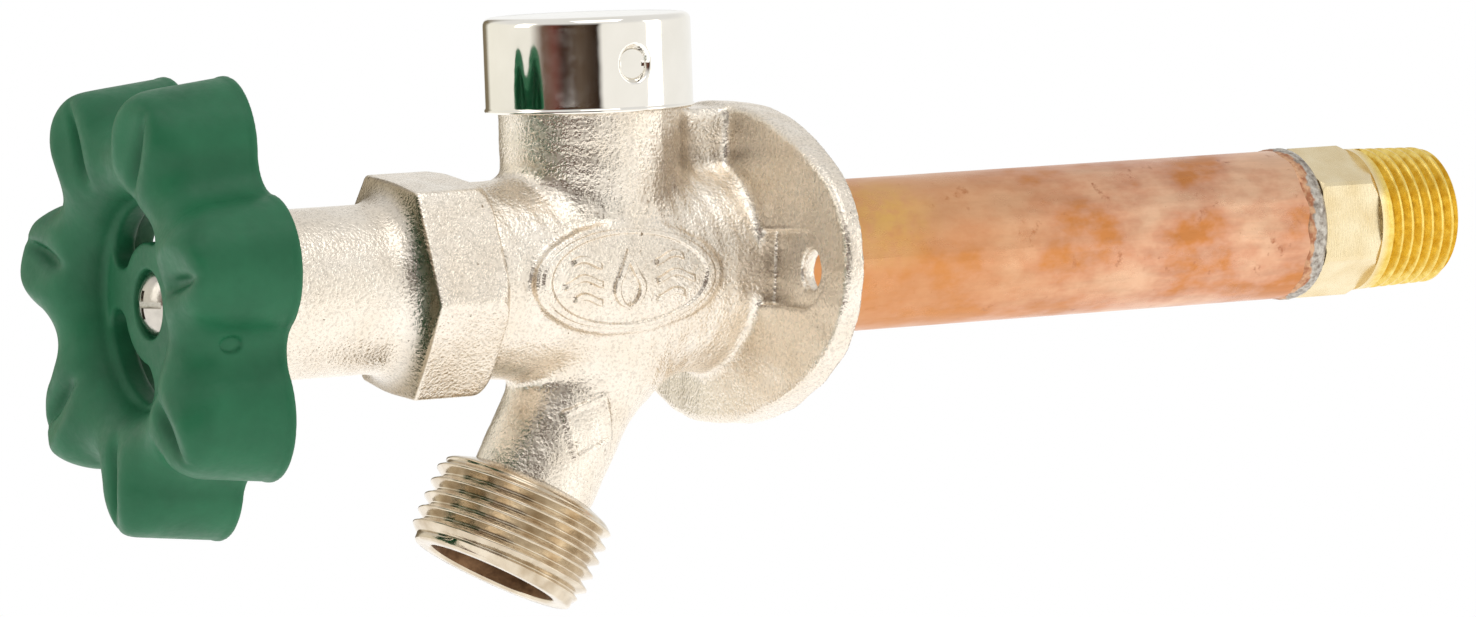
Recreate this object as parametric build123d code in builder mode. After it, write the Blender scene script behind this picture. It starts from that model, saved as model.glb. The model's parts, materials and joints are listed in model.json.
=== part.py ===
"""Frost-free anti-siphon wall hydrant (hose bib), short pattern, as an assembly of separate pieces.

Frame: the flange's wall face is the plane Y = 0, +Y goes into the wall, the handle is at -Y and +Z is
up. The supply tube's axis passes through the origin and rises into the wall by the drain pitch. Every
piece but the flange is drawn in the tube's own frame: x to the side, y along the tube, z up from it.
Millimetres. The valve is drawn closed, with no water pressure.
"""
import os
from math import atan2, copysign, cos, degrees, radians, sin, sqrt

from build123d import *

# ---------------------------------------------------------------- driving dimensions
DRAIN_PITCH = 4.5          # degrees the tube falls towards the outside, so that it empties
FIT_GAP = 0.05             # solder film and plain assembly gaps
RUNNING_GAP = 0.07         # radial clearance of turning and sliding fits

# Supply tube: 7/8 inch outside diameter copper
TUBE_R = 22.225 / 2
TUBE_BORE_R = 9.97
SIZED_R = 10.94            # the tube's sized end, inside the valve body
SIZED_END_Y = 1.2
TUBE_FRONT_Y = -12.0
TUBE_REAR_Y = 92.0
SOLDER_MOUTH_R = 12.8
SOLDER_END_Y = -1.6

# Oval wall flange with a shallow roof-shaped front
FLANGE_HALF_WIDTH = 37.0
FLANGE_HALF_HEIGHT = 23.2
FLANGE_END_R = 16.6
FLANGE_RIDGE = 6.2         # thickness on the centre line
FLANGE_RIM = 2.7           # thickness at the left and right ends
SCREW_SPACING = 50.8
SCREW_HOLE_R = 2.9
PAD_WIDTH = 10.9
PAD_FLOOR = 2.35           # flange thickness left under the screw heads
PAD_INNER_X = 12.0

# Valve body
BARREL_FRONT_Y = -45.0
BARREL_FRONT_R = 14.0
BARREL_REAR_R = 15.2
SPIGOT_R = 13.0            # front spigot inside the bonnet nut
SPIGOT_FRONT_Y = -52.0
SPIGOT_GROOVE_Y = -48.45   # middle of its O-ring groove
CHAMBER_R = 9.65
RIB_HALF = 5.5
RIB_TOP_Z = 23.0

# Hose nozzle: 3/4-11.5 NH garden hose thread
NOZZLE_ANGLE = 25.0        # forward lean from straight down
NOZZLE_Y = -18.4           # where its axis crosses the barrel's
NOZZLE_REACH = 48.2
NOZZLE_STEM_R = 9.0
NOZZLE_PASSAGE_R = 7.2
HOSE_THREAD_R = 13.45
HOSE_THREAD_PITCH = 25.4 / 11.5
HOSE_THREAD_DEPTH = 1.35
HOSE_THREAD_LENGTH = 13.2
HOSE_THREAD_START = 50.0   # where the thread starts, round the nozzle's axis
HOSE_MOUTH_R = 9.5
HOSE_MOUTH_DEPTH = 11.0

# Bonnet nut: hex and sleeve
HEX_CORNER_R = 17.2
HEX_TRIM_R = 16.9
HEX_FRONT_Y = -56.5
HEX_TURN = -6.7            # angle of one corner from +X
HEX_FILLET_R = 2.4         # hollow corner between the hex and the sleeve
SLEEVE_R = 12.0
SLEEVE_FRONT_Y = -87.5
SLEEVE_CORE_R = 8.6
GUIDE_R = 4.76 + RUNNING_GAP
GUIDE_REAR_Y = -70.0
GLAND_REAR_Y = -77.5
GLAND_FRONT_Y = -84.6
GLAND_R = 7.5

# Operating stem and its thread: 12 mm, 2 mm lead, five millimetres of lift
JOURNAL_R = 4.76
STEM_SQUARE = 7.0
THREAD_PITCH = 2.0
THREAD_CREST_R = 6.0
THREAD_ROOT_R = 5.0
THREAD_GAP = 0.12
THREAD_START = -37.0       # where this thread and the pipe thread start, round their axis
ROD_R = 3.0
ROD_REAR_Y = 76.5

# Inlet fitting: 1/2-14 NPT outside, 1/2 inch solder cup inside
SEAT_Y = 83.2
FITTING_FRONT_Y = 84.0
FITTING_HEX_FLATS = 19.8
FITTING_HEX_REAR_Y = 103.2
FITTING_REAR_Y = 117.4
PIPE_THREAD_R = 10.67
PIPE_THREAD_PITCH = 25.4 / 14
PIPE_THREAD_DEPTH = 1.2
PIPE_TAPER = degrees(atan2(1, 32))
CUP_R = 8.0
CUP_DEPTH = 12.7
WATERWAY_R = 5.0

# Vacuum breaker on top of the body
BREAKER_Y = -23.75
NECK_R = 13.15
NECK_TOP_Z = 25.4
BREAKER_CHAMBER_R = 10.2
BREAKER_SEAT_Z = 13.4
CAP_R = 14.9
CAP_BORE_R = 13.8
CAP_BOTTOM_Z = 23.5
CAP_TOP_Z = 37.1
CAP_EDGE_R = 1.2
LOCK_SCREW_Z = 30.3
POPPET_LIFT = 3.0

# Handle: seven-lobe wheel
LOBES = 7
LOBE_TURN = 14.5           # angle of the first lobe from +X
HANDLE_REAR_Y = -84.5
HANDLE_FRONT_Y = -101.26
HUB_FACE_Y = -93.6
HUB_BACK_Y = -90.0
HUB_BOSS_REAR_Y = -85.2
HUB_BOSS_R = 7.4
HUB_WALL_R = 15.2          # inside of the wall between hub and rim
BOWL_R = 14.6              # at the hub's face
WINDOW_R = 11.4
WINDOW_WIDTH = 5.4
WINDOW_ANGLES = (110, 230, 350)
SCREW_SEAT_Y = -92.0
SCREW_RECESS_R = 4.95
SCREW_HEAD_R = 4.4
SCREW_DOME = 2.4           # height of the head over its seat
SCREW_SHANK_R = 2.1

# ---------------------------------------------------------------- shared axes and planes
TUBE_FRAME = Plane(
    (0, 0, 0), x_dir=(1, 0, 0), z_dir=(0, -sin(radians(DRAIN_PITCH)), cos(radians(DRAIN_PITCH)))
)
TUBE_DIR = TUBE_FRAME.y_dir
BODY_UP = TUBE_FRAME.z_dir
TUBE_AXIS = Axis((0, 0, 0), TUBE_DIR)


def in_body(x, y, z):
    """A point of the tube's frame, in the frame of the whole valve."""
    return TUBE_FRAME.from_local_coords((x, y, z))


def at_y(y):
    """The plane square to the tube at y along it: x to +X, y up, its normal towards the handle."""
    return Plane(in_body(0, y, 0), x_dir=(1, 0, 0), z_dir=-TUBE_DIR)


BREAKER_AXIS = Axis(in_body(0, BREAKER_Y, 0), BODY_UP)
BREAKER_PLANE = at_y(BREAKER_Y)
NOZZLE_DIR = Vector(0, -sin(radians(NOZZLE_ANGLE)), -cos(radians(NOZZLE_ANGLE)))
NOZZLE_ORIGIN = in_body(0, NOZZLE_Y, 0)
NOZZLE_AXIS = Axis(NOZZLE_ORIGIN, NOZZLE_DIR)
# In this plane x is the radius and y the distance along the nozzle.
NOZZLE_SIDE = Plane(NOZZLE_ORIGIN, x_dir=(1, 0, 0), z_dir=(0, -NOZZLE_DIR.Z, NOZZLE_DIR.Y))


def lock_screw_plane(x):
    """The plane square to the cap's lock screw at X = x, its x along the tube, its normal inwards."""
    return Plane(in_body(x, BREAKER_Y, LOCK_SCREW_Z), x_dir=TUBE_DIR, z_dir=(-1, 0, 0))


def finish(piece, name):
    """Label a finished piece and write its STEP file."""
    piece.part.label = name
    export_step(piece.part, f"parts/{name}.step")


def helical_groove(
    start, direction, radius, pitch, turns, depth, half_tip, half_mouth, cone=0.0, turned=THREAD_START
):
    """A thread groove as a solid, half_tip wide at its depth and half_mouth wide just past radius.

    A positive depth cuts inwards from a shaft's surface, and a negative one outwards from a bore. The
    groove starts turned degrees round its axis.
    """
    overhang = copysign(0.15, depth)
    with BuildPart() as groove:
        with BuildLine():
            path = Helix(pitch, pitch * turns, radius, start, direction, cone)
        outward = (path @ 0 - start).normalized()
        with BuildSketch(Plane(path @ 0, x_dir=outward, z_dir=outward.cross(direction))):
            with BuildLine():
                Polyline(
                    (-depth, -half_tip),
                    (overhang, -half_mouth),
                    (overhang, half_mouth),
                    (-depth, half_tip),
                    close=True,
                )
            make_face()
        sweep(is_frenet=True)
    return groove.part.rotate(Axis(start, direction), turned)


def lobed_points(crest_r, notch_r, notch_fillet):
    """Start, middle and end of each crest arc and each notch arc of a seven-lobe outline."""
    half = radians(180 / LOBES)
    notch_centre = notch_r + notch_fillet
    lobe_r = (crest_r**2 + notch_centre**2 - notch_fillet**2 - 2 * crest_r * notch_centre * cos(half)) / (
        2 * (crest_r + notch_fillet - notch_centre * cos(half))
    )
    lobe_centre = crest_r - lobe_r
    share = lobe_r / (lobe_r + notch_fillet)
    touch_x = lobe_centre + (notch_centre * cos(half) - lobe_centre) * share
    touch_y = notch_centre * sin(half) * share
    touch_r = sqrt(touch_x**2 + touch_y**2)
    touch_angle = atan2(touch_y, touch_x)
    arcs = []
    for lobe in range(LOBES):
        middle = radians(LOBE_TURN) + lobe * 2 * half
        crest = [(touch_r, middle - touch_angle), (crest_r, middle), (touch_r, middle + touch_angle)]
        notch = [crest[2], (notch_r, middle + half), (touch_r, middle + 2 * half - touch_angle)]
        arcs += [crest, notch]
    return [[(r * cos(a), r * sin(a)) for r, a in arc] for arc in arcs]


def lobed_face(y, crest_r, notch_r, notch_fillet=5.0):
    """A flat seven-lobe face at Y = y."""
    with BuildSketch(at_y(y)) as face:
        with BuildLine():
            for arc in lobed_points(crest_r, notch_r, notch_fillet):
                ThreePointArc(*arc)
        make_face()
    return face.sketch


os.makedirs("parts", exist_ok=True)

# ---------------------------------------------------------------- valve body
flange_end_x = FLANGE_HALF_WIDTH - FLANGE_END_R
flange_top_r = (flange_end_x**2 + FLANGE_HALF_HEIGHT**2 - FLANGE_END_R**2) / (
    2 * (FLANGE_HALF_HEIGHT - FLANGE_END_R)
)
flange_top_drop = flange_top_r - FLANGE_HALF_HEIGHT
flange_blend = degrees(atan2(flange_top_drop, flange_end_x))
collar_start = NOZZLE_REACH - HOSE_THREAD_LENGTH
hose_groove = helical_groove(
    NOZZLE_ORIGIN + NOZZLE_DIR * (NOZZLE_REACH + HOSE_THREAD_PITCH),
    -NOZZLE_DIR,
    HOSE_THREAD_R,
    HOSE_THREAD_PITCH,
    6.2,
    HOSE_THREAD_DEPTH,
    0.16,
    1.0,
    turned=HOSE_THREAD_START,
)

with BuildPart() as valve_body:
    # Oval wall flange, square to the wall
    with BuildSketch(Plane.XZ):
        with BuildLine():
            CenterArc((flange_end_x, 0), FLANGE_END_R, -flange_blend, 2 * flange_blend)
            CenterArc((0, -flange_top_drop), flange_top_r, flange_blend, 180 - 2 * flange_blend)
            CenterArc((-flange_end_x, 0), FLANGE_END_R, 180 - flange_blend, 2 * flange_blend)
            CenterArc((0, flange_top_drop), flange_top_r, 180 + flange_blend, 180 - 2 * flange_blend)
        make_face()
    extrude(amount=FLANGE_RIDGE)
    with BuildSketch(Plane.XY.offset(-FLANGE_HALF_HEIGHT - 1)):
        with BuildLine():
            Polyline(
                (-FLANGE_HALF_WIDTH - 0.1, 0),
                (-FLANGE_HALF_WIDTH - 0.1, -FLANGE_RIM),
                (0, -FLANGE_RIDGE),
                (FLANGE_HALF_WIDTH + 0.1, -FLANGE_RIM),
                (FLANGE_HALF_WIDTH + 0.1, 0),
                close=True,
            )
        make_face()
    extrude(amount=2 * FLANGE_HALF_HEIGHT + 2, mode=Mode.INTERSECT)
    # Barrel, with the spigot that takes the bonnet nut and its O-ring groove
    with BuildSketch(TUBE_FRAME):
        with BuildLine():
            Polyline(
                (0, -2.0),
                (BARREL_REAR_R, -2.0),
                (BARREL_REAR_R, -FLANGE_RIDGE - 2.5),
                (BARREL_FRONT_R, BARREL_FRONT_Y),
                (SPIGOT_R, BARREL_FRONT_Y),
                (SPIGOT_R, SPIGOT_GROOVE_Y + 0.95),
                (SPIGOT_R - 1.5, SPIGOT_GROOVE_Y + 0.95),
                (SPIGOT_R - 1.5, SPIGOT_GROOVE_Y - 0.95),
                (SPIGOT_R, SPIGOT_GROOVE_Y - 0.95),
                (SPIGOT_R, SPIGOT_FRONT_Y),
                (0, SPIGOT_FRONT_Y),
                close=True,
            )
        make_face()
    revolve(axis=TUBE_AXIS)
    # Vacuum breaker neck, and the rib from it to the flange
    with BuildSketch(TUBE_FRAME):
        with Locations((0, BREAKER_Y)):
            Circle(NECK_R)
    extrude(amount=NECK_TOP_Z)
    with BuildSketch(TUBE_FRAME):
        with Locations((0, (BREAKER_Y - 1.0) / 2)):
            Rectangle(2 * RIB_HALF, -BREAKER_Y - 1.0)
    extrude(amount=RIB_TOP_Z)
    # Nozzle: flared stem and threaded collar
    with BuildSketch(NOZZLE_SIDE):
        with BuildLine():
            Polyline(
                (0, 0),
                (11.6, 0),
                (11.2, 12.0),
                (NOZZLE_STEM_R, 20.0),
                (NOZZLE_STEM_R, collar_start),
                (HOSE_THREAD_R - 1.2, collar_start),
                (HOSE_THREAD_R, collar_start + 1.2),
                (HOSE_THREAD_R, NOZZLE_REACH - 0.9),
                (HOSE_THREAD_R - 1.3, NOZZLE_REACH),
                (0, NOZZLE_REACH),
                close=True,
            )
        make_face()
    revolve(axis=NOZZLE_AXIS)
    add(hose_groove, mode=Mode.SUBTRACT)
    # Recessed pads under the two wall screws, and their holes
    for side in (-1, 1):
        hole_x = side * SCREW_SPACING / 2
        pad_middle = side * (SCREW_SPACING / 2 + PAD_INNER_X) / 2
        with BuildSketch(Plane.XZ.offset(PAD_FLOOR)):
            with Locations((pad_middle, 0)):
                Rectangle(SCREW_SPACING / 2 - PAD_INNER_X, PAD_WIDTH)
            with Locations((hole_x, 0)):
                Circle(PAD_WIDTH / 2)
        extrude(amount=12.0, mode=Mode.SUBTRACT)
        with BuildSketch(Plane.XZ):
            with Locations((hole_x, 0)):
                Circle(SCREW_HOLE_R)
        extrude(amount=FLANGE_RIDGE, mode=Mode.SUBTRACT)
    # Inside: stem chamber, bushing seat, tube socket with a solder chamfer
    with BuildSketch(TUBE_FRAME):
        with BuildLine():
            Polyline(
                (0, SIZED_END_Y),
                (SOLDER_MOUTH_R, SIZED_END_Y),
                (SIZED_R + FIT_GAP, SOLDER_END_Y),
                (SIZED_R + FIT_GAP, TUBE_FRONT_Y),
                (CHAMBER_R, TUBE_FRONT_Y),
                (CHAMBER_R, -50.0),
                (10.95, -50.0),
                (10.95, SPIGOT_FRONT_Y),
                (0, SPIGOT_FRONT_Y),
                close=True,
            )
        make_face()
    revolve(axis=TUBE_AXIS, mode=Mode.SUBTRACT)
    # Passages: up to the vacuum breaker, and down the nozzle
    with BuildSketch(BREAKER_PLANE):
        with BuildLine():
            Polyline(
                (0, 0),
                (6.5, 0),
                (6.5, BREAKER_SEAT_Z),
                (BREAKER_CHAMBER_R, BREAKER_SEAT_Z),
                (BREAKER_CHAMBER_R, NECK_TOP_Z),
                (0, NECK_TOP_Z),
                close=True,
            )
        make_face()
    revolve(axis=BREAKER_AXIS, mode=Mode.SUBTRACT)
    with BuildSketch(NOZZLE_SIDE):
        with BuildLine():
            Polyline(
                (0, 0),
                (NOZZLE_PASSAGE_R, 0),
                (NOZZLE_PASSAGE_R, NOZZLE_REACH - HOSE_MOUTH_DEPTH - 2.3),
                (HOSE_MOUTH_R, NOZZLE_REACH - HOSE_MOUTH_DEPTH),
                (HOSE_MOUTH_R, NOZZLE_REACH),
                (0, NOZZLE_REACH),
                close=True,
            )
        make_face()
    revolve(axis=NOZZLE_AXIS, mode=Mode.SUBTRACT)
finish(valve_body, "valve_body")

# ---------------------------------------------------------------- bonnet nut and what it holds
with BuildPart() as bonnet_nut:
    with BuildSketch(at_y(BARREL_FRONT_Y)):
        RegularPolygon(HEX_CORNER_R, 6, rotation=HEX_TURN)
    extrude(amount=BARREL_FRONT_Y - HEX_FRONT_Y)
    # The hex is turned down at its corners.
    with BuildSketch(TUBE_FRAME):
        with BuildLine():
            Polyline(
                (0, BARREL_FRONT_Y),
                (15.8, BARREL_FRONT_Y),
                (HEX_TRIM_R, BARREL_FRONT_Y - 0.9),
                (HEX_TRIM_R, HEX_FRONT_Y),
                (0, HEX_FRONT_Y),
                close=True,
            )
        make_face()
    revolve(axis=TUBE_AXIS, mode=Mode.INTERSECT)
    with BuildSketch(TUBE_FRAME):
        with BuildLine():
            hollow_start = (SLEEVE_R + HEX_FILLET_R, HEX_FRONT_Y)
            hollow_end = (SLEEVE_R, HEX_FRONT_Y - HEX_FILLET_R)
            RadiusArc(hollow_start, hollow_end, HEX_FILLET_R)
            Polyline(
                hollow_end,
                (SLEEVE_R, SLEEVE_FRONT_Y + 0.6),
                (SLEEVE_R - 0.6, SLEEVE_FRONT_Y),
                (0, SLEEVE_FRONT_Y),
                (0, HEX_FRONT_Y),
                hollow_start,
            )
        make_face()
    revolve(axis=TUBE_AXIS)
    with BuildSketch(TUBE_FRAME):
        with BuildLine():
            Polyline(
                (0, BARREL_FRONT_Y),
                (SPIGOT_R + FIT_GAP, BARREL_FRONT_Y),
                (SPIGOT_R + FIT_GAP, SPIGOT_FRONT_Y),
                (SLEEVE_CORE_R, SPIGOT_FRONT_Y),
                (SLEEVE_CORE_R, GUIDE_REAR_Y),
                (GUIDE_R, GUIDE_REAR_Y),
                (GUIDE_R, GLAND_REAR_Y),
                (GLAND_R, GLAND_REAR_Y),
                (GLAND_R, -83.1),
                (GLAND_R + 0.65, -83.1),
                (GLAND_R + 0.65, -84.2),
                (GLAND_R, -84.2),
                (GLAND_R, GLAND_FRONT_Y),
                (9.2, GLAND_FRONT_Y),
                (9.2, SLEEVE_FRONT_Y),
                (0, SLEEVE_FRONT_Y),
                close=True,
            )
        make_face()
    revolve(axis=TUBE_AXIS, mode=Mode.SUBTRACT)
finish(bonnet_nut, "bonnet_nut")

with BuildPart() as bonnet_o_ring:
    with BuildSketch(TUBE_FRAME):
        with Locations((SPIGOT_R + FIT_GAP - 0.76, SPIGOT_GROOVE_Y)):
            Circle(0.76)
    revolve(axis=TUBE_AXIS)
finish(bonnet_o_ring, "bonnet_o_ring")

bushing_rear_y = -38.0
bushing_bore_r = THREAD_ROOT_R + 0.15
female_half_mouth = 0.605 + THREAD_GAP
female_half_tip = 0.325 + THREAD_GAP
female_groove = helical_groove(
    in_body(0, bushing_rear_y + THREAD_PITCH * 1.5, 0),
    -TUBE_DIR,
    bushing_bore_r,
    THREAD_PITCH,
    9.3,
    -(THREAD_CREST_R + 0.15 - bushing_bore_r),
    female_half_tip,
    female_half_mouth,
)

with BuildPart() as stem_bushing:
    with BuildSketch(TUBE_FRAME):
        with BuildLine():
            Polyline(
                (bushing_bore_r, bushing_rear_y),
                (CHAMBER_R - FIT_GAP, bushing_rear_y),
                (CHAMBER_R - FIT_GAP, -50.0),
                (10.9, -50.0),
                (10.9, SPIGOT_FRONT_Y),
                (bushing_bore_r, SPIGOT_FRONT_Y),
                close=True,
            )
        make_face()
    revolve(axis=TUBE_AXIS)
    add(female_groove, mode=Mode.SUBTRACT)
finish(stem_bushing, "stem_bushing")

with BuildPart() as packing_ring:
    with BuildSketch(at_y(GLAND_REAR_Y)):
        Circle(GLAND_R)
        Circle(GUIDE_R, mode=Mode.SUBTRACT)
    extrude(amount=4.2)
finish(packing_ring, "packing_ring")

with BuildPart() as packing_washer:
    with BuildSketch(at_y(GLAND_REAR_Y - 4.2)):
        Circle(GLAND_R - FIT_GAP)
        Circle(GUIDE_R + FIT_GAP, mode=Mode.SUBTRACT)
    extrude(amount=1.4)
finish(packing_washer, "packing_washer")

with BuildPart() as packing_retaining_ring:
    with BuildSketch(at_y(-83.15)):
        Circle(GLAND_R + 0.6)
        Circle(6.2, mode=Mode.SUBTRACT)
        with Locations((0, -7.4)):
            Rectangle(4.0, 4.0, mode=Mode.SUBTRACT)
    extrude(amount=1.0)
finish(packing_retaining_ring, "packing_retaining_ring")

# ---------------------------------------------------------------- supply tube and its joints
with BuildPart() as supply_tube:
    with BuildSketch(at_y(TUBE_REAR_Y)):
        Circle(TUBE_R)
    extrude(amount=TUBE_REAR_Y - SIZED_END_Y)
    with BuildSketch(at_y(SIZED_END_Y)):
        Circle(SIZED_R)
    extrude(amount=SIZED_END_Y - TUBE_FRONT_Y)
    with BuildSketch(at_y(TUBE_REAR_Y)):
        Circle(TUBE_BORE_R)
    extrude(amount=TUBE_REAR_Y - TUBE_FRONT_Y, mode=Mode.SUBTRACT)
finish(supply_tube, "supply_tube")

with BuildPart() as body_solder_ring:
    with BuildSketch(TUBE_FRAME):
        with BuildLine():
            Polyline(
                (SIZED_R, SIZED_END_Y),
                (SOLDER_MOUTH_R, SIZED_END_Y),
                (SIZED_R + FIT_GAP, SOLDER_END_Y),
                (SIZED_R, SOLDER_END_Y),
                close=True,
            )
        make_face()
    revolve(axis=TUBE_AXIS)
    # Flush with the wall face
    with BuildSketch(Plane.XZ):
        Rectangle(4 * TUBE_R, 4 * TUBE_R)
    extrude(amount=-3.0, mode=Mode.SUBTRACT)
finish(body_solder_ring, "body_solder_ring")

shoulder_r = FITTING_HEX_FLATS / 2 - 0.05
shoulder_rear_y = TUBE_REAR_Y + 1.4
with BuildPart() as inlet_solder_ring:
    with BuildSketch(TUBE_FRAME):
        with BuildLine():
            Polyline(
                (TUBE_R, TUBE_REAR_Y - 1.5),
                (TUBE_R + 0.2, TUBE_REAR_Y - 0.9),
                (TUBE_R + 0.2, TUBE_REAR_Y + 0.8),
                (TUBE_R - 0.2, shoulder_rear_y),
                (shoulder_r, shoulder_rear_y),
                (shoulder_r, TUBE_REAR_Y),
                (TUBE_R, TUBE_REAR_Y),
                close=True,
            )
        make_face()
    revolve(axis=TUBE_AXIS)
finish(inlet_solder_ring, "inlet_solder_ring")

pipe_thread_start_y = FITTING_REAR_Y + PIPE_THREAD_PITCH
pipe_thread_end_r = PIPE_THREAD_R - (FITTING_REAR_Y - FITTING_HEX_REAR_Y) / 32
pipe_groove = helical_groove(
    in_body(0, pipe_thread_start_y, 0),
    -TUBE_DIR,
    pipe_thread_end_r - PIPE_THREAD_PITCH / 32,
    PIPE_THREAD_PITCH,
    7.6,
    PIPE_THREAD_DEPTH,
    0.13,
    0.83,
    PIPE_TAPER,
)

with BuildPart() as inlet_fitting:
    with BuildSketch(at_y(FITTING_HEX_REAR_Y)):
        RegularPolygon(FITTING_HEX_FLATS / 2, 6, major_radius=False, rotation=33.0)
    extrude(amount=FITTING_HEX_REAR_Y - shoulder_rear_y)
    with BuildSketch(TUBE_FRAME):
        with BuildLine():
            Polyline(
                (0, shoulder_rear_y),
                (10.9, shoulder_rear_y),
                (11.25, shoulder_rear_y + 0.5),
                (11.25, FITTING_HEX_REAR_Y - 1.0),
                (10.4, FITTING_HEX_REAR_Y),
                (0, FITTING_HEX_REAR_Y),
                close=True,
            )
        make_face()
    revolve(axis=TUBE_AXIS, mode=Mode.INTERSECT)
    with BuildSketch(TUBE_FRAME):
        with BuildLine():
            Polyline(
                (0, FITTING_FRONT_Y),
                (WATERWAY_R, SEAT_Y),
                (WATERWAY_R + 1.3, SEAT_Y),
                (WATERWAY_R + 1.9, FITTING_FRONT_Y),
                (TUBE_BORE_R - FIT_GAP, FITTING_FRONT_Y),
                (TUBE_BORE_R - FIT_GAP, TUBE_REAR_Y),
                (shoulder_r, TUBE_REAR_Y),
                (shoulder_r, FITTING_HEX_REAR_Y),
                (PIPE_THREAD_R, FITTING_HEX_REAR_Y),
                (pipe_thread_end_r, FITTING_REAR_Y - 0.8),
                (pipe_thread_end_r - 0.8, FITTING_REAR_Y),
                (0, FITTING_REAR_Y),
                close=True,
            )
        make_face()
    revolve(axis=TUBE_AXIS)
    add(pipe_groove, mode=Mode.SUBTRACT)
    with BuildSketch(TUBE_FRAME):
        with BuildLine():
            Polyline(
                (0, SEAT_Y - 1),
                (WATERWAY_R, SEAT_Y - 1),
                (WATERWAY_R, FITTING_REAR_Y - CUP_DEPTH),
                (CUP_R, FITTING_REAR_Y - CUP_DEPTH),
                (CUP_R, FITTING_REAR_Y),
                (0, FITTING_REAR_Y),
                close=True,
            )
        make_face()
    revolve(axis=TUBE_AXIS, mode=Mode.SUBTRACT)
finish(inlet_fitting, "inlet_fitting")

# ---------------------------------------------------------------- stem assembly
stem_thread_front_y = -51.0
stem_thread_rear_y = -37.0
stem_tail_y = -27.0
collar_front_y = -64.9
stem_front_y = -91.0
square_rear_y = -84.2
o_ring_y = -73.4
# The stem's ridge runs in the bushing's groove, so its own groove is half a pitch along.
stem_groove = helical_groove(
    in_body(0, bushing_rear_y + THREAD_PITCH * 2.0, 0),
    -TUBE_DIR,
    THREAD_CREST_R,
    THREAD_PITCH,
    9.0,
    THREAD_CREST_R - THREAD_ROOT_R,
    0.35,
    0.65,
)

with BuildPart() as operating_stem:
    with BuildSketch(TUBE_FRAME):
        with BuildLine():
            Polyline(
                (0, stem_front_y),
                (JOURNAL_R - 0.5, stem_front_y),
                (JOURNAL_R, stem_front_y + 0.5),
                (JOURNAL_R, o_ring_y - 0.85),
                (JOURNAL_R - 1.3, o_ring_y - 0.85),
                (JOURNAL_R - 1.3, o_ring_y + 0.85),
                (JOURNAL_R, o_ring_y + 0.85),
                (JOURNAL_R, collar_front_y),
                (8.0, collar_front_y),
                (8.0, collar_front_y + 2.5),
                (THREAD_ROOT_R - 0.05, collar_front_y + 2.5),
                (THREAD_ROOT_R - 0.05, stem_thread_front_y),
                (THREAD_CREST_R, stem_thread_front_y),
                (THREAD_CREST_R, stem_thread_rear_y),
                (4.4, stem_thread_rear_y),
                (4.4, stem_tail_y),
                (0, stem_tail_y),
                close=True,
            )
        make_face()
    revolve(axis=TUBE_AXIS)
    add(stem_groove, mode=Mode.SUBTRACT)
    # Square drive for the handle
    with BuildSketch(at_y(square_rear_y)):
        Circle(2 * JOURNAL_R)
        Rectangle(STEM_SQUARE, STEM_SQUARE, rotation=LOBE_TURN, mode=Mode.SUBTRACT)
    extrude(amount=square_rear_y - stem_front_y, mode=Mode.SUBTRACT)
    # Holes for the handle screw in front and the rod behind
    with BuildSketch(at_y(stem_front_y + 11.0)):
        Circle(2.15)
    extrude(amount=11.0, mode=Mode.SUBTRACT)
    with BuildSketch(at_y(stem_tail_y)):
        Circle(ROD_R + FIT_GAP)
    extrude(amount=9.0, mode=Mode.SUBTRACT)
finish(operating_stem, "operating_stem")

with BuildPart() as stem_o_ring:
    with BuildSketch(TUBE_FRAME):
        with Locations((GUIDE_R - 0.02 - 0.66, o_ring_y)):
            Circle(0.66)
    revolve(axis=TUBE_AXIS)
finish(stem_o_ring, "stem_o_ring")

clip_y = 72.9
with BuildPart() as stem_rod:
    with BuildSketch(TUBE_FRAME):
        with BuildLine():
            Polyline(
                (0, stem_tail_y - 8.9),
                (ROD_R, stem_tail_y - 8.9),
                (ROD_R, clip_y - 0.5),
                (ROD_R - 0.6, clip_y - 0.5),
                (ROD_R - 0.6, clip_y + 0.5),
                (ROD_R, clip_y + 0.5),
                (ROD_R, ROD_REAR_Y - 0.5),
                (ROD_R - 0.5, ROD_REAR_Y),
                (0, ROD_REAR_Y),
                close=True,
            )
        make_face()
    revolve(axis=TUBE_AXIS)
finish(stem_rod, "stem_rod")

with BuildPart() as rod_clip:
    with BuildSketch(at_y(clip_y + 0.45)):
        Circle(4.2)
        Circle(ROD_R - 0.55, mode=Mode.SUBTRACT)
        with Locations((0, -3.2)):
            Rectangle(3.4, 4.4, mode=Mode.SUBTRACT)
    extrude(amount=0.9)
finish(rod_clip, "rod_clip")

with BuildPart() as handle_screw:
    with BuildSketch(TUBE_FRAME):
        with BuildLine():
            Polyline(
                (0, SCREW_SEAT_Y - SCREW_DOME),
                (0, SCREW_SEAT_Y + 10.0),
                (SCREW_SHANK_R, SCREW_SEAT_Y + 9.4),
                (SCREW_SHANK_R, SCREW_SEAT_Y),
                (SCREW_HEAD_R, SCREW_SEAT_Y),
                (SCREW_HEAD_R, SCREW_SEAT_Y - 0.6),
            )
            ThreePointArc(
                (SCREW_HEAD_R, SCREW_SEAT_Y - 0.6),
                (2.5, SCREW_SEAT_Y - 1.95),
                (0, SCREW_SEAT_Y - SCREW_DOME),
            )
        make_face()
    revolve(axis=TUBE_AXIS)
    # Combination recess: a slot right across and a shorter cross slot
    with BuildSketch(at_y(SCREW_SEAT_Y - 1.2)):
        Rectangle(9.0, 0.9)
        Rectangle(0.9, 4.0)
    extrude(amount=2.0, mode=Mode.SUBTRACT)
finish(handle_screw, "handle_screw")

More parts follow.
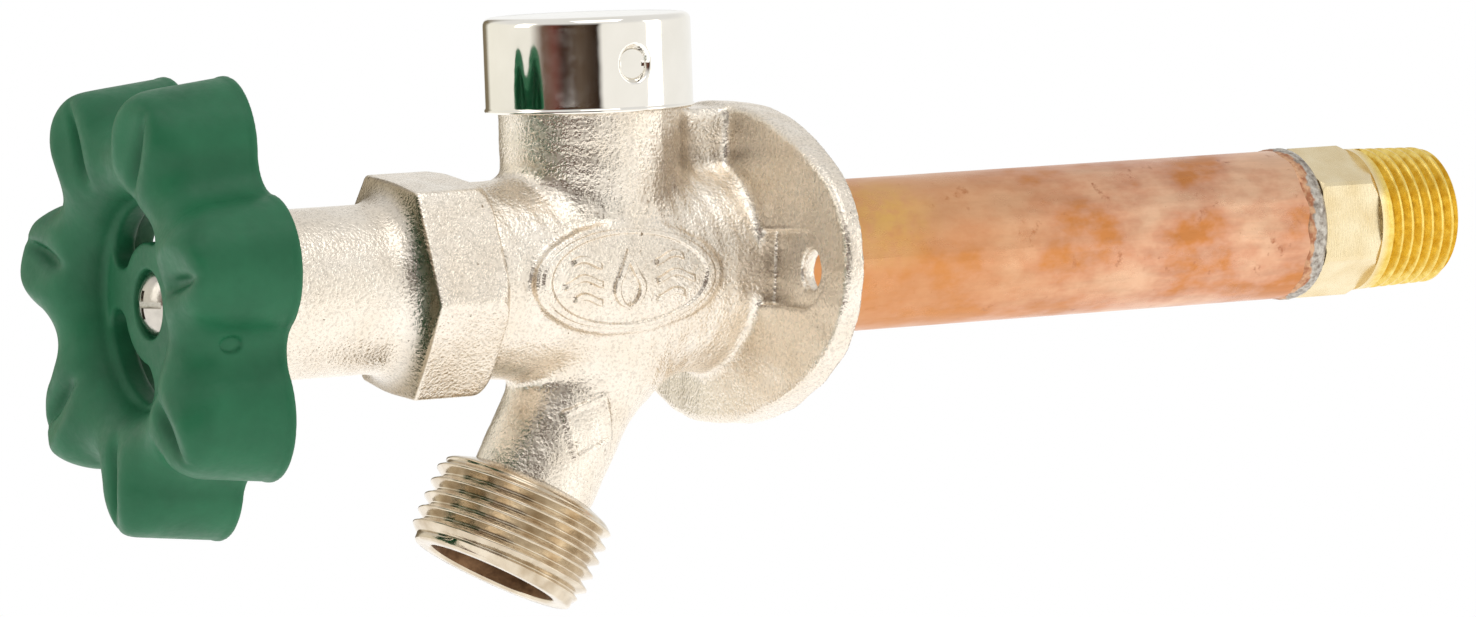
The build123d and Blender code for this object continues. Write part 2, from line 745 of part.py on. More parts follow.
# ---------------------------------------------------------------- handle
outer_sections = (
    (HANDLE_REAR_Y, 33.75, 27.2),
    (-92.9, 32.8, 26.0),
    (-98.3, 32.0, 23.6),
    (HANDLE_FRONT_Y, 27.8, 18.9),
)
hollow_sections = (
    (HANDLE_REAR_Y, 31.1, 24.6),
    (-92.9, 30.1, 23.4),
    (-97.6, 28.6, 20.6),
)
with BuildPart() as handle:
    loft([lobed_face(*section) for section in outer_sections], ruled=True)
    # Hollow rim, open at the back, around a cylindrical inner wall
    loft([lobed_face(*section) for section in hollow_sections], ruled=True, mode=Mode.SUBTRACT)
    with BuildSketch(TUBE_FRAME):
        with BuildLine():
            Polyline(
                (0, HUB_BOSS_REAR_Y),
                (HUB_BOSS_R, HUB_BOSS_REAR_Y),
                (HUB_BOSS_R, HUB_BACK_Y),
                (HUB_WALL_R, HUB_BACK_Y),
                (HUB_WALL_R, -86.6),
                (17.6, -86.6),
                (18.4, -98.6),
                (0, -98.6),
                close=True,
            )
        make_face()
    revolve(axis=TUBE_AXIS)
    # Bowl in front of the hub
    with BuildSketch(TUBE_FRAME):
        with BuildLine():
            Polyline(
                (0, HUB_FACE_Y),
                (BOWL_R, HUB_FACE_Y),
                (BOWL_R + 1.0, HUB_FACE_Y - 4.4),
                (17.0, HANDLE_FRONT_Y),
                (0, HANDLE_FRONT_Y),
                close=True,
            )
        make_face()
    revolve(axis=TUBE_AXIS, mode=Mode.SUBTRACT)
    # Screw recess, square hole and three windows between the spokes
    with BuildSketch(at_y(SCREW_SEAT_Y)):
        Circle(SCREW_RECESS_R)
    extrude(amount=3.0, mode=Mode.SUBTRACT)
    with BuildSketch(at_y(HUB_BOSS_REAR_Y)):
        Rectangle(STEM_SQUARE + 0.1, STEM_SQUARE + 0.1, rotation=LOBE_TURN)
    extrude(amount=HUB_BOSS_REAR_Y - SCREW_SEAT_Y, mode=Mode.SUBTRACT)
    with BuildSketch(at_y(HUB_BACK_Y + 1)):
        for window_angle in WINDOW_ANGLES:
            with BuildLine(mode=Mode.PRIVATE) as window_line:
                CenterArc((0, 0), WINDOW_R, window_angle - 30, 60)
            SlotArc(window_line.edge(), WINDOW_WIDTH)
    extrude(amount=5.0, mode=Mode.SUBTRACT)
finish(handle, "handle")

# ---------------------------------------------------------------- plug that closes the seat
holder_front_y = 69.8
holder_face_y = 80.2
holder_cup_y = 82.0
washer_r = 7.65
with BuildPart() as washer_holder:
    # Four ribs keep it central in the tube.
    with BuildSketch(at_y(holder_face_y)):
        for rib_turn in (45, 135):
            Rectangle(22.0, 2.4, rotation=rib_turn)
        Circle(TUBE_BORE_R - RUNNING_GAP, mode=Mode.INTERSECT)
    extrude(amount=7.0)
    with BuildSketch(TUBE_FRAME):
        with BuildLine():
            Polyline(
                (0, holder_front_y),
                (5.0, holder_front_y),
                (5.8, holder_front_y + 0.8),
                (5.8, 76.0),
                (8.6, 78.4),
                (8.6, holder_cup_y),
                (0, holder_cup_y),
                close=True,
            )
        make_face()
    revolve(axis=TUBE_AXIS)
    # Cup for the washer, tapped hole, socket for the rod with a groove for its clip
    with BuildSketch(TUBE_FRAME):
        with BuildLine():
            Polyline(
                (0, holder_front_y),
                (ROD_R + RUNNING_GAP, holder_front_y),
                (ROD_R + RUNNING_GAP, clip_y - 0.6),
                (4.4, clip_y - 0.6),
                (4.4, clip_y + 0.6),
                (ROD_R + RUNNING_GAP, clip_y + 0.6),
                (ROD_R + RUNNING_GAP, ROD_REAR_Y + 0.1),
                (1.9, ROD_REAR_Y + 0.6),
                (1.9, holder_face_y),
                (washer_r + FIT_GAP, holder_face_y),
                (washer_r + FIT_GAP, holder_cup_y),
                (0, holder_cup_y),
                close=True,
            )
        make_face()
    revolve(axis=TUBE_AXIS, mode=Mode.SUBTRACT)
    # Side slot through which the clip is pushed on
    with BuildSketch(at_y(clip_y + 0.6)):
        with Locations((0, 4.0)):
            Rectangle(8.8, 8.0)
    extrude(amount=1.2, mode=Mode.SUBTRACT)
finish(washer_holder, "washer_holder")

with BuildPart() as seat_washer:
    with BuildSketch(at_y(SEAT_Y)):
        Circle(washer_r)
        Circle(1.95, mode=Mode.SUBTRACT)
    extrude(amount=SEAT_Y - holder_face_y)
finish(seat_washer, "seat_washer")

with BuildPart() as seat_washer_screw:
    with BuildSketch(TUBE_FRAME):
        with BuildLine():
            Polyline(
                (0, ROD_REAR_Y + 0.8),
                (1.85, ROD_REAR_Y + 0.8),
                (1.85, SEAT_Y),
                (3.4, SEAT_Y),
                (3.4, SEAT_Y + 0.9),
                (2.6, SEAT_Y + 1.6),
                (0, SEAT_Y + 1.6),
                close=True,
            )
        make_face()
    revolve(axis=TUBE_AXIS)
    with BuildSketch(at_y(SEAT_Y + 1.6)):
        Rectangle(8.0, 0.8)
    extrude(amount=0.8, mode=Mode.SUBTRACT)
finish(seat_washer_screw, "seat_washer_screw")

# ---------------------------------------------------------------- vacuum breaker
seat_ring_top_z = BREAKER_SEAT_Z + 2.0
poppet_top_z = seat_ring_top_z + 2.0
port_lip_z = poppet_top_z + 1.3 + POPPET_LIFT + 0.05
port_r = 5.0
crown_r = 9.0
crown_top_z = CAP_TOP_Z - 1.3
guide_pin_r = 1.7
guide_pin_top_z = poppet_top_z + 13.0
with BuildPart() as vacuum_breaker_seat:
    with BuildSketch(BREAKER_PLANE):
        with BuildLine():
            Polyline(
                (5.0, BREAKER_SEAT_Z),
                (BREAKER_CHAMBER_R - FIT_GAP, BREAKER_SEAT_Z),
                (BREAKER_CHAMBER_R - FIT_GAP, BREAKER_SEAT_Z + 1.2),
                (6.4, BREAKER_SEAT_Z + 1.2),
                (6.1, seat_ring_top_z),
                (5.0, seat_ring_top_z),
                close=True,
            )
        make_face()
    revolve(axis=BREAKER_AXIS)
finish(vacuum_breaker_seat, "vacuum_breaker_seat")

with BuildPart() as vacuum_breaker_bonnet:
    with BuildSketch(BREAKER_PLANE):
        with BuildLine():
            Polyline(
                (port_r, port_lip_z),
                (port_r + 1.0, port_lip_z),
                (port_r + 1.4, port_lip_z + 0.8),
                (BREAKER_CHAMBER_R - 1.6, port_lip_z + 0.8),
                (BREAKER_CHAMBER_R - 1.6, port_lip_z + 2.4),
                (BREAKER_CHAMBER_R - FIT_GAP, port_lip_z + 2.4),
                (BREAKER_CHAMBER_R - FIT_GAP, NECK_TOP_Z),
                (12.6, NECK_TOP_Z),
                (12.6, NECK_TOP_Z + 1.2),
                (crown_r, NECK_TOP_Z + 1.7),
                (crown_r, crown_top_z),
                (guide_pin_r + RUNNING_GAP, crown_top_z),
                (guide_pin_r + RUNNING_GAP, guide_pin_top_z - 2.6),
                (2.7, guide_pin_top_z - 2.6),
                (2.7, crown_top_z - 1.6),
                (port_r, crown_top_z - 1.6),
                close=True,
            )
        make_face()
    revolve(axis=BREAKER_AXIS)
    # Air windows around the crown, clear of the lock screw's seat
    for window_turn in (45, 135):
        with BuildSketch(Plane(in_body(0, BREAKER_Y, 33.5), x_dir=(1, 0, 0), z_dir=BODY_UP)):
            Rectangle(30.0, 4.0, rotation=window_turn)
            Circle(2.8, mode=Mode.SUBTRACT)
        extrude(amount=-4.0, mode=Mode.SUBTRACT)
finish(vacuum_breaker_bonnet, "vacuum_breaker_bonnet")

with BuildPart() as vacuum_breaker_o_ring:
    with BuildSketch(BREAKER_PLANE):
        with Locations((BREAKER_CHAMBER_R - 0.78, port_lip_z + 1.6)):
            Circle(0.78)
    revolve(axis=BREAKER_AXIS)
finish(vacuum_breaker_o_ring, "vacuum_breaker_o_ring")

lock_screw_tip_x = crown_r
lock_screw_head_x = CAP_R - 1.0
with BuildPart() as vacuum_breaker_cap:
    with BuildSketch(BREAKER_PLANE):
        with BuildLine():
            Polyline((0, CAP_TOP_Z), (0, crown_top_z))
            Line((0, crown_top_z), (CAP_BORE_R, crown_top_z))
            Line((CAP_BORE_R, crown_top_z), (CAP_BORE_R, CAP_BOTTOM_Z))
            Line((CAP_BORE_R, CAP_BOTTOM_Z), (CAP_R, CAP_BOTTOM_Z))
            Line((CAP_R, CAP_BOTTOM_Z), (CAP_R, CAP_TOP_Z - CAP_EDGE_R))
            RadiusArc((CAP_R, CAP_TOP_Z - CAP_EDGE_R), (CAP_R - CAP_EDGE_R, CAP_TOP_Z), -CAP_EDGE_R)
            Line((CAP_R - CAP_EDGE_R, CAP_TOP_Z), (0, CAP_TOP_Z))
        make_face()
    revolve(axis=BREAKER_AXIS)
    # Boss and hole for the lock screw
    with BuildSketch(lock_screw_plane(CAP_BORE_R + 0.6)):
        Circle(2.9)
    extrude(amount=CAP_BORE_R - crown_r)
    with BuildSketch(lock_screw_plane(CAP_R + 1.0)):
        Circle(2.1)
    extrude(amount=CAP_R + 1.0 - crown_r, mode=Mode.SUBTRACT)
finish(vacuum_breaker_cap, "vacuum_breaker_cap")

with BuildPart() as cap_lock_screw:
    with BuildSketch(lock_screw_plane(lock_screw_head_x)):
        Circle(2.1 - FIT_GAP)
    extrude(amount=lock_screw_head_x - lock_screw_tip_x - 0.05)
    with BuildSketch(lock_screw_plane(lock_screw_head_x)):
        Rectangle(5.0, 0.8)
    extrude(amount=0.9, mode=Mode.SUBTRACT)
finish(cap_lock_screw, "cap_lock_screw")

with BuildPart() as vacuum_breaker_poppet:
    with BuildSketch(BREAKER_PLANE):
        with BuildLine():
            Polyline(
                (0, seat_ring_top_z - 4.5),
                (2.2, seat_ring_top_z - 4.5),
                (2.2, seat_ring_top_z + 0.6),
                (4.4, seat_ring_top_z + 0.6),
                (4.4, seat_ring_top_z),
                (4.7, seat_ring_top_z),
                (4.7, seat_ring_top_z + 0.9),
                (7.6, seat_ring_top_z + 0.9),
                (7.6, poppet_top_z),
                (2.2, poppet_top_z),
                (guide_pin_r, poppet_top_z + 0.8),
                (guide_pin_r, guide_pin_top_z - 0.5),
                (guide_pin_r - 0.5, guide_pin_top_z),
                (0, guide_pin_top_z),
                close=True,
            )
        make_face()
    revolve(axis=BREAKER_AXIS)
finish(vacuum_breaker_poppet, "vacuum_breaker_poppet")

with BuildPart() as poppet_lower_seal:
    with BuildSketch(TUBE_FRAME.offset(seat_ring_top_z)):
        with Locations((0, BREAKER_Y)):
            Circle(7.4)
            Circle(4.7, mode=Mode.SUBTRACT)
    extrude(amount=0.9)
finish(poppet_lower_seal, "poppet_lower_seal")

with BuildPart() as poppet_upper_seal:
    with BuildSketch(TUBE_FRAME.offset(poppet_top_z)):
        with Locations((0, BREAKER_Y)):
            Circle(7.4)
            Circle(4.6, mode=Mode.SUBTRACT)
    extrude(amount=1.3)
finish(poppet_upper_seal, "poppet_upper_seal")

spring_wire_r = 0.3
spring_bottom_z = poppet_top_z
spring_top_z = crown_top_z - 1.6
spring_coil_r = 3.4
spring_rise = spring_top_z - spring_bottom_z - 2 * spring_wire_r
with BuildPart() as vacuum_breaker_spring:
    with BuildLine():
        spring_path = Helix(
            spring_rise / 6,
            spring_rise,
            spring_coil_r,
            in_body(0, BREAKER_Y, spring_bottom_z + spring_wire_r),
            BODY_UP,
        )
    with BuildSketch(Plane(spring_path @ 0, z_dir=spring_path % 0)):
        Circle(spring_wire_r)
    sweep(is_frenet=True)
finish(vacuum_breaker_spring, "vacuum_breaker_spring")
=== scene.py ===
"""Looks of the frost-free wall hydrant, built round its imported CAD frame.

Cast and moulded pieces are distance fields turned into meshes; turned and threaded ones are lathed.
"""
import json
from math import atan2, cos, pi, radians, sin, sqrt

import bpy
import numpy as np
from mathutils import Matrix, Vector


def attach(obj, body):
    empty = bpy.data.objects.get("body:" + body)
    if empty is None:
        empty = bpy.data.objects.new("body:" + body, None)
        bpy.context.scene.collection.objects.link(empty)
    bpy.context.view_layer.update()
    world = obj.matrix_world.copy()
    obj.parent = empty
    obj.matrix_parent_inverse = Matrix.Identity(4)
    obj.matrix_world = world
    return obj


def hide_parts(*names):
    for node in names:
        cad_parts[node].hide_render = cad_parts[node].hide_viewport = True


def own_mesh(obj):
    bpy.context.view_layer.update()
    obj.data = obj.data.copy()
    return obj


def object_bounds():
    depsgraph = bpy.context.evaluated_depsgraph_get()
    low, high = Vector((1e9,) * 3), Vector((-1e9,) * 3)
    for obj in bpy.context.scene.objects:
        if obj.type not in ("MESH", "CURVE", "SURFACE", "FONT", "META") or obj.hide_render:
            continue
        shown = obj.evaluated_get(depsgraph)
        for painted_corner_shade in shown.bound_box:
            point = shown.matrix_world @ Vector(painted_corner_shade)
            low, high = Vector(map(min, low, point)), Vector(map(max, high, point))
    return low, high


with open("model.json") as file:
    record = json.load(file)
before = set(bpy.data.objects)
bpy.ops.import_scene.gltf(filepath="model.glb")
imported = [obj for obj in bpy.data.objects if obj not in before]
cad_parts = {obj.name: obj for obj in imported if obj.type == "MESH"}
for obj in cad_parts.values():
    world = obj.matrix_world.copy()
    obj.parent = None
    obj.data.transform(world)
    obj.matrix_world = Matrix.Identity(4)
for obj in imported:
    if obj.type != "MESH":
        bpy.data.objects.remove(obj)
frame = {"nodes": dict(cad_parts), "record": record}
cad_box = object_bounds()

# ---------------------------------------------------------------- the valve's own frame, in mm
MM = 0.001
PITCH = radians(4.5)
PITCH_COS, PITCH_SIN = cos(PITCH), sin(PITCH)
NOZZLE_LEAN = radians(29.5)  # from straight down towards the handle
NOZZLE_Y = -18.4  # where the nozzle's axis meets the tube's
COLLAR_START = 35.0  # along the nozzle's axis
HEX_FRONT_Y = -56.5
LOBE_TURN = radians(14.5)
LOBES = 7


def to_row(points):
    """Points of the valve's own frame (y along the tube), in mm, to the row frame, in metres."""
    p = np.asarray(points, float)
    x, y, z = p[..., 0], p[..., 1], p[..., 2]
    row = np.stack([x, PITCH_COS * y - PITCH_SIN * z, PITCH_SIN * y + PITCH_COS * z], -1)
    return row * MM


def span(node, direction):
    """How far a CAD node reaches along a direction of the valve's own frame: lowest and highest, in mm."""
    vertices = frame["nodes"][node].data.vertices
    places = np.empty(len(vertices) * 3, np.float32)
    vertices.foreach_get("co", places)
    reach = places.reshape(-1, 3) @ to_row(direction) / MM**2
    return round(float(reach.min()), 2), round(float(reach.max()), 2)


# ---------------------------------------------------------------- places taken from the CAD frame
ACROSS, ALONG_TUBE, UP = (1.0, 0.0, 0.0), (0.0, 1.0, 0.0), (0.0, 0.0, 1.0)
NOZZLE_DIR = np.array([0.0, -sin(NOZZLE_LEAN), -cos(NOZZLE_LEAN)])
NOZZLE_REACH = round(span("valve_body", NOZZLE_DIR)[1] - NOZZLE_Y * NOZZLE_DIR[1], 2)
SLEEVE_FRONT_Y, BARREL_FRONT_Y = span("bonnet_nut", ALONG_TUBE)
HANDLE_FRONT_Y, HANDLE_REAR_Y = span("handle", ALONG_TUBE)
CAP_LOW, CAP_TOP = span("vacuum_breaker_cap", UP)
CAP_R = span("vacuum_breaker_cap", ACROSS)[1]
BREAKER_Y = round(sum(span("vacuum_breaker_cap", ALONG_TUBE)) / 2, 2)
RIPPLE_ROOM = 0.12  # keeps the uneven skin inside the CAD outline
FLANGE_HALF_WIDTH = span("valve_body", ACROSS)[1] - RIPPLE_ROOM
SEAM_Y = span("inlet_solder_ring", ALONG_TUBE)[0]

# ---------------------------------------------------------------- distance fields
def join(a, b, k):
    """Union with a fillet about k wide."""
    h = np.maximum(k - np.abs(a - b), 0) / k
    return np.minimum(a, b) - h * h * k * 0.25


def both(a, b, k):
    """Intersection with a rounding about k wide."""
    h = np.maximum(k - np.abs(a - b), 0) / k
    return np.maximum(a, b) + h * h * k * 0.25


def cut(a, b, k):
    """a without b, the edge rounded about k wide."""
    return both(a, -b, k)


def slab(v, low, high):
    """Distance to the layer from low to high."""
    return np.maximum(low - v, v - high)


def ramp(v, a, b):
    """0 at a, 1 at b, smooth between."""
    t = np.clip((v - a) / (b - a), 0, 1)
    return t * t * (3 - 2 * t)


def net_vertices(values):
    """One vertex for each grid cell that the zero surface crosses, in grid steps, and each cell's index."""
    inside = values < 0
    n = [s - 1 for s in inside.shape]
    corners = [(i, j, k) for i in (0, 1) for j in (0, 1) for k in (0, 1)]
    count = sum(inside[i:i + n[0], j:j + n[1], k:k + n[2]].astype(np.int8) for i, j, k in corners)
    active = (count > 0) & (count < len(corners))
    cells = np.argwhere(active)
    index = np.full(active.shape, -1, np.int32)
    index[active] = np.arange(len(cells))
    total = np.zeros((len(cells), 3))
    hits = np.zeros(len(cells))
    for a in corners:
        for axis in range(3):
            if a[axis]:
                continue
            b = list(a)
            b[axis] = 1
            va = values[tuple((cells + a).T)]
            vb = values[tuple((cells + b).T)]
            crossing = (va < 0) != (vb < 0)
            t = np.where(crossing, va / np.where(crossing, va - vb, 1), 0)
            point = cells + np.array(a, float)
            point[:, axis] += t
            total += point * crossing[:, None]
            hits += crossing
    return total / hits[:, None], index


def net_faces(inside, index):
    """One quad for each grid edge that the surface crosses, facing outwards."""
    faces = []
    for axis in range(3):
        u, v = (axis + 1) % 3, (axis + 2) % 3
        here = [slice(None)] * 3
        there = [slice(None)] * 3
        here[axis], there[axis] = slice(0, -1), slice(1, None)
        edges = np.argwhere(inside[tuple(here)] != inside[tuple(there)])
        keep = (edges[:, u] > 0) & (edges[:, v] > 0)
        keep &= (edges[:, u] < index.shape[u]) & (edges[:, v] < index.shape[v])
        edges = edges[keep]
        outward = inside[tuple(here)][tuple(edges.T)]
        ring = []
        for du, dv in ((-1, -1), (0, -1), (0, 0), (-1, 0)):
            cell = edges.copy()
            cell[:, u] += du
            cell[:, v] += dv
            ring.append(index[tuple(cell.T)])
        quad = np.stack(ring, 1)
        quad[~outward] = quad[~outward][:, ::-1]
        faces.append(quad)
    return np.concatenate(faces)


NEWTON_STEPS = 3
NUDGE = 0.02
FLATTEST = 0.05


def settle(verts, field, step):
    """Vertices moved onto the field's zero surface by a few Newton steps."""
    longest_move = 0.3 * step
    for _ in range(NEWTON_STEPS):
        x, y, z = (verts[:, i].copy() for i in range(3))
        distance = field(x, y, z)
        slopes = (
            field(x + NUDGE, y, z) - field(x - NUDGE, y, z),
            field(x, y + NUDGE, z) - field(x, y - NUDGE, z),
            field(x, y, z + NUDGE) - field(x, y, z - NUDGE),
        )
        grad = np.stack(slopes, 1) / (2 * NUDGE)
        steepness = np.maximum((grad**2).sum(1), FLATTEST)
        move = -grad * (distance / steepness)[:, None]
        length = np.sqrt((move**2).sum(1))
        move *= np.minimum(1, longest_move / np.maximum(length, 1e-9))[:, None]
        verts = verts + move
    return verts


def mesh_field(name, field, low, high, step):
    """The zero surface of field(x, y, z) as a smooth quad mesh, by surface nets and a few Newton steps."""
    axes = [np.arange(a, b + step, step, dtype=np.float32) for a, b in zip(low, high)]
    values = field(axes[0][:, None, None], axes[1][None, :, None], axes[2][None, None, :])
    values = np.broadcast_to(values, [len(a) for a in axes]).astype(np.float32)
    verts, index = net_vertices(values)
    verts = settle(verts * step + np.array(low), field, step)
    return new_mesh(name, to_row(verts), net_faces(values < 0, index))


def new_mesh(name, verts, faces):
    """A mesh object from arrays of vertices (in metres) and quads."""
    mesh = bpy.data.meshes.new(name)
    verts, faces = np.asarray(verts, np.float32), np.asarray(faces, np.int32)
    mesh.vertices.add(len(verts))
    mesh.vertices.foreach_set("co", verts.ravel())
    mesh.loops.add(faces.size)
    mesh.loops.foreach_set("vertex_index", faces.ravel())
    mesh.polygons.add(len(faces))
    mesh.polygons.foreach_set("loop_start", np.arange(0, faces.size, 4, dtype=np.int32))
    mesh.polygons.foreach_set("use_smooth", np.ones(len(faces), bool))
    mesh.update(calc_edges=True)
    mesh.validate()
    piece = bpy.data.objects.new(name, mesh)
    bpy.context.scene.collection.objects.link(piece)
    return piece


def ring_quads(rows, turns):
    """Quads of a grid that closes on itself both ways."""
    i, j = np.meshgrid(np.arange(rows), np.arange(turns), indexing="ij")
    i2, j2 = (i + 1) % rows, (j + 1) % turns
    return np.stack([i * turns + j, i * turns + j2, i2 * turns + j2, i2 * turns + j], -1).reshape(-1, 4)


def lathe(name, radius, along, origin, axis, side):
    """A closed ring: radius and along are (profile, angle) arrays in mm, side is the direction of angle 0."""
    rows, turns = radius.shape
    angle = np.arange(turns) * 2 * pi / turns
    across = np.cross(axis, side)
    out = np.cos(angle)[:, None] * side + np.sin(angle)[:, None] * across
    verts = origin + radius[..., None] * out[None] + along[..., None] * np.asarray(axis)
    return new_mesh(name, to_row(verts.reshape(-1, 3)), ring_quads(rows, turns))


# ---------------------------------------------------------------- valve body
FLANGE_HALF_HEIGHT = 23.2
FLANGE_END_R = 16.6
FLANGE_RIDGE = 6.2
FLANGE_RIM = 2.7
SCREW_X = 25.4
SCREW_HOLE_R = 2.9
PAD_HALF = 5.45
PAD_FLOOR = 2.35
PAD_INNER_X = 14.9
PAD_REACH = 8.5
BARREL_FRONT_R = 14.0
BARREL_SWELL = 1.2
BARREL_TAPER_LENGTH = 36.3
NECK_R = 13.15
NECK_TOP_Z = 25.4
RIB_HALF_WIDTH = 5.3
RIB_TOP_Z = 23.0
STEM_R = 9.0
STEM_SWELL = 2.2
PLAQUE_T = 24.1  # along the nozzle's axis
PLAQUE_HALF_LENGTH = 5.5
PLAQUE_HALF_WIDTH = 4.65
PLAQUE_RELIEF = 0.36
SPIGOT_R = 13.0
SPIGOT_FRONT_Y = -52.0
BARREL_BORE_R = 9.65
BARREL_BORE_END_Y = -11.0
SOCKET_R = 10.99
SOCKET_START_Y = -12.0
BREAKER_PORT_R = 6.5
BREAKER_CHAMBER_R = 10.2
BREAKER_CHAMBER_Z = 13.4
NOZZLE_BORE_R = 7.2
# Where the bores' cutting shapes end, clear of the casting
BEYOND_NECK = 30.0
BEYOND_NOZZLE = 60.0
BEYOND_SPIGOT_Y = -60.0
BADGE_Y = -26.2
BADGE_HALF_LENGTH = 14.7
BADGE_HALF_HEIGHT = 7.9
BADGE_R = 15.5
RIM_RELIEF = 0.38
EMBLEM_RELIEF = 0.6


def oval(x, z):
    """Distance to the flange's outline of four tangent arcs."""
    end_x = FLANGE_HALF_WIDTH - FLANGE_END_R
    top_r = end_x**2 + FLANGE_HALF_HEIGHT**2 - FLANGE_END_R**2
    top_r = top_r / (2 * (FLANGE_HALF_HEIGHT - FLANGE_END_R))
    drop = top_r - FLANGE_HALF_HEIGHT
    ax, az = np.abs(x), np.abs(z)
    at_end = end_x * (az + drop) - drop * ax < 0
    return np.where(at_end, np.hypot(ax - end_x, az) - FLANGE_END_R, np.hypot(ax, az + drop) - top_r)


def barrel_radius(y):
    """The barrel widens towards the wall."""
    return BARREL_FRONT_R + BARREL_SWELL * np.clip((y - BARREL_FRONT_Y) / BARREL_TAPER_LENGTH, 0, 1)


def emblem(u, v):
    """A water drop between waves: 1 on the raised parts."""
    drop_r, drop_low, tip, line_width, soft = 2.7, 1.4, 4.6, 1.05, 0.35
    bulb = np.sqrt(np.maximum(0, drop_r**2 - (v + drop_low) ** 2))
    point = 2.15 * np.clip((tip - v) / 4.4, 0, 1)
    width = np.where(v < 0.2, bulb, point)
    drop = ramp(width - np.abs(u), 0.0, soft)
    inner = ramp(width - line_width - np.abs(u), 0.0, soft)
    mark = np.maximum(drop - inner, 0)
    for level in (-2.6, 0.0, 2.6):
        wave = np.abs(v - level - 0.55 * np.cos(0.95 * (np.abs(u) - 7.3)))
        reach = 10.6 - 0.24 * level * level
        line = ramp(0.62 - wave, 0, 0.3) * ramp(np.abs(u), 4.1, 4.6) * ramp(reach - np.abs(u), 0, 0.6)
        mark = np.maximum(mark, line)
    return mark


ripple_rng = np.random.default_rng(3)
# (wavelength, size) in mm
RIPPLE_WAVES = ((9.0, 0.03), (7.0, 0.03), (5.0, 0.02), (3.6, 0.012), (2.9, 0.012), (2.3, 0.01), (1.9, 0.01))
RIPPLES = [
    (*(ripple_rng.normal(size=3) * 2 * pi / wavelength / sqrt(3)), ripple_rng.uniform(0, 2 * pi), size)
    for wavelength, size in RIPPLE_WAVES
]


def ripple(x, y, z):
    """The uneven skin of a sand casting."""
    return sum(size * np.sin(a * x + b * y + c * z + phase) for a, b, c, phase, size in RIPPLES)


def body_field(x, y, z):
    """Distance to the cast body: barrel, breaker neck, nozzle stem, rib and flange, less its waterways."""
    row_y = PITCH_COS * y - PITCH_SIN * z
    row_z = PITCH_SIN * y + PITCH_COS * z
    r = np.hypot(x, z)
    barrel_r = barrel_radius(y)
    d = both(r - barrel_r, slab(y, BARREL_FRONT_Y, -2.0), 0.7)
    # Vacuum breaker neck
    neck_r = np.hypot(x, y - BREAKER_Y)
    neck = both(neck_r - NECK_R, slab(z, 0.0, NECK_TOP_Z), 0.6)
    d = join(d, neck, 2.9)
    # Nozzle stem: t runs along its axis, w across it
    t = (y - NOZZLE_Y) * NOZZLE_DIR[1] + z * NOZZLE_DIR[2]
    w = (y - NOZZLE_Y) * NOZZLE_DIR[2] - z * NOZZLE_DIR[1]
    nozzle_r = np.hypot(x, w)
    stem_r = STEM_R + STEM_SWELL * ramp(t, 20.5, 11.0)
    plaque = np.abs(t - PLAQUE_T) / PLAQUE_HALF_LENGTH + np.abs(w + 0.3) / PLAQUE_HALF_WIDTH
    plaque = (plaque - 1) * 3.55
    raised = PLAQUE_RELIEF * (ramp(plaque, 0.15, -0.1) - 0.8 * ramp(plaque, -0.55, -0.85))
    stem_r = stem_r + raised * (x > 0)
    stem = both(nozzle_r - stem_r, slab(t, 0.0, COLLAR_START + 1.2), 0.4)
    d = join(d, stem, 2.9)
    # Rib
    rib = both(np.abs(x) - RIB_HALF_WIDTH, slab(y, BREAKER_Y, -1.0), 1.0)
    rib = both(rib, slab(z, 0.0, RIB_TOP_Z), 1.4)
    d = join(d, rib, 2.0)
    # Flange
    slope = (FLANGE_RIDGE - FLANGE_RIM) / FLANGE_HALF_WIDTH
    roof = (-row_y - FLANGE_RIDGE + slope * np.abs(x)) / sqrt(1 + slope * slope)
    plate = both(oval(x, row_z), roof, 1.1)
    plate = both(plate, row_y, 0.3)
    d = join(d, plate, 1.5)
    d = np.maximum(d, row_y)
    # Screw pads and holes
    ax = np.abs(x)
    inner_end = np.maximum(np.abs(row_z), (PAD_INNER_X - ax) + PAD_HALF)
    stadium = np.where(ax > SCREW_X, np.hypot(ax - SCREW_X, row_z), inner_end)
    pad = np.maximum((stadium - PAD_HALF) * 0.95 + 0.12 * (-row_y - PAD_FLOOR), row_y + PAD_FLOOR)
    pad = np.maximum(pad, -PAD_REACH - row_y)
    d = cut(d, pad, 0.7)
    d = cut(d, np.hypot(ax - SCREW_X, row_z) - SCREW_HOLE_R, 0.5)
    # Badge on the +X side: the raised oval that carries the rim and the emblem
    e = np.sqrt(((y - BADGE_Y) / BADGE_HALF_LENGTH) ** 2 + (z / BADGE_HALF_HEIGHT) ** 2) + 1e-6
    grad = np.sqrt(((y - BADGE_Y) / BADGE_HALF_LENGTH**2) ** 2 + (z / BADGE_HALF_HEIGHT**2) ** 2) / e + 1e-6
    edge = (e - 1) / grad
    badge = both(edge, r - BADGE_R, 0.4)
    d = join(d, np.maximum(badge, 6.0 - x), 0.8)
    d = d + ripple(x, y, z)
    d = np.maximum(d, row_y)
    # Spigot inside the bonnet nut
    d = np.minimum(d, np.maximum(r - SPIGOT_R, slab(y, SPIGOT_FRONT_Y, BARREL_FRONT_Y + 1)))
    # Waterways
    d = cut(d, np.maximum(r - BARREL_BORE_R, slab(y, BEYOND_SPIGOT_Y, BARREL_BORE_END_Y)), 0.2)
    d = cut(d, np.maximum(r - SOCKET_R, SOCKET_START_Y - y), 0.2)
    d = cut(d, np.maximum(neck_r - BREAKER_PORT_R, slab(z, 0.0, BEYOND_NECK)), 0.2)
    d = cut(d, np.maximum(neck_r - BREAKER_CHAMBER_R, slab(z, BREAKER_CHAMBER_Z, BEYOND_NECK)), 0.2)
    return cut(d, np.maximum(nozzle_r - NOZZLE_BORE_R, slab(t, 0.0, BEYOND_NOZZLE)), 0.2)


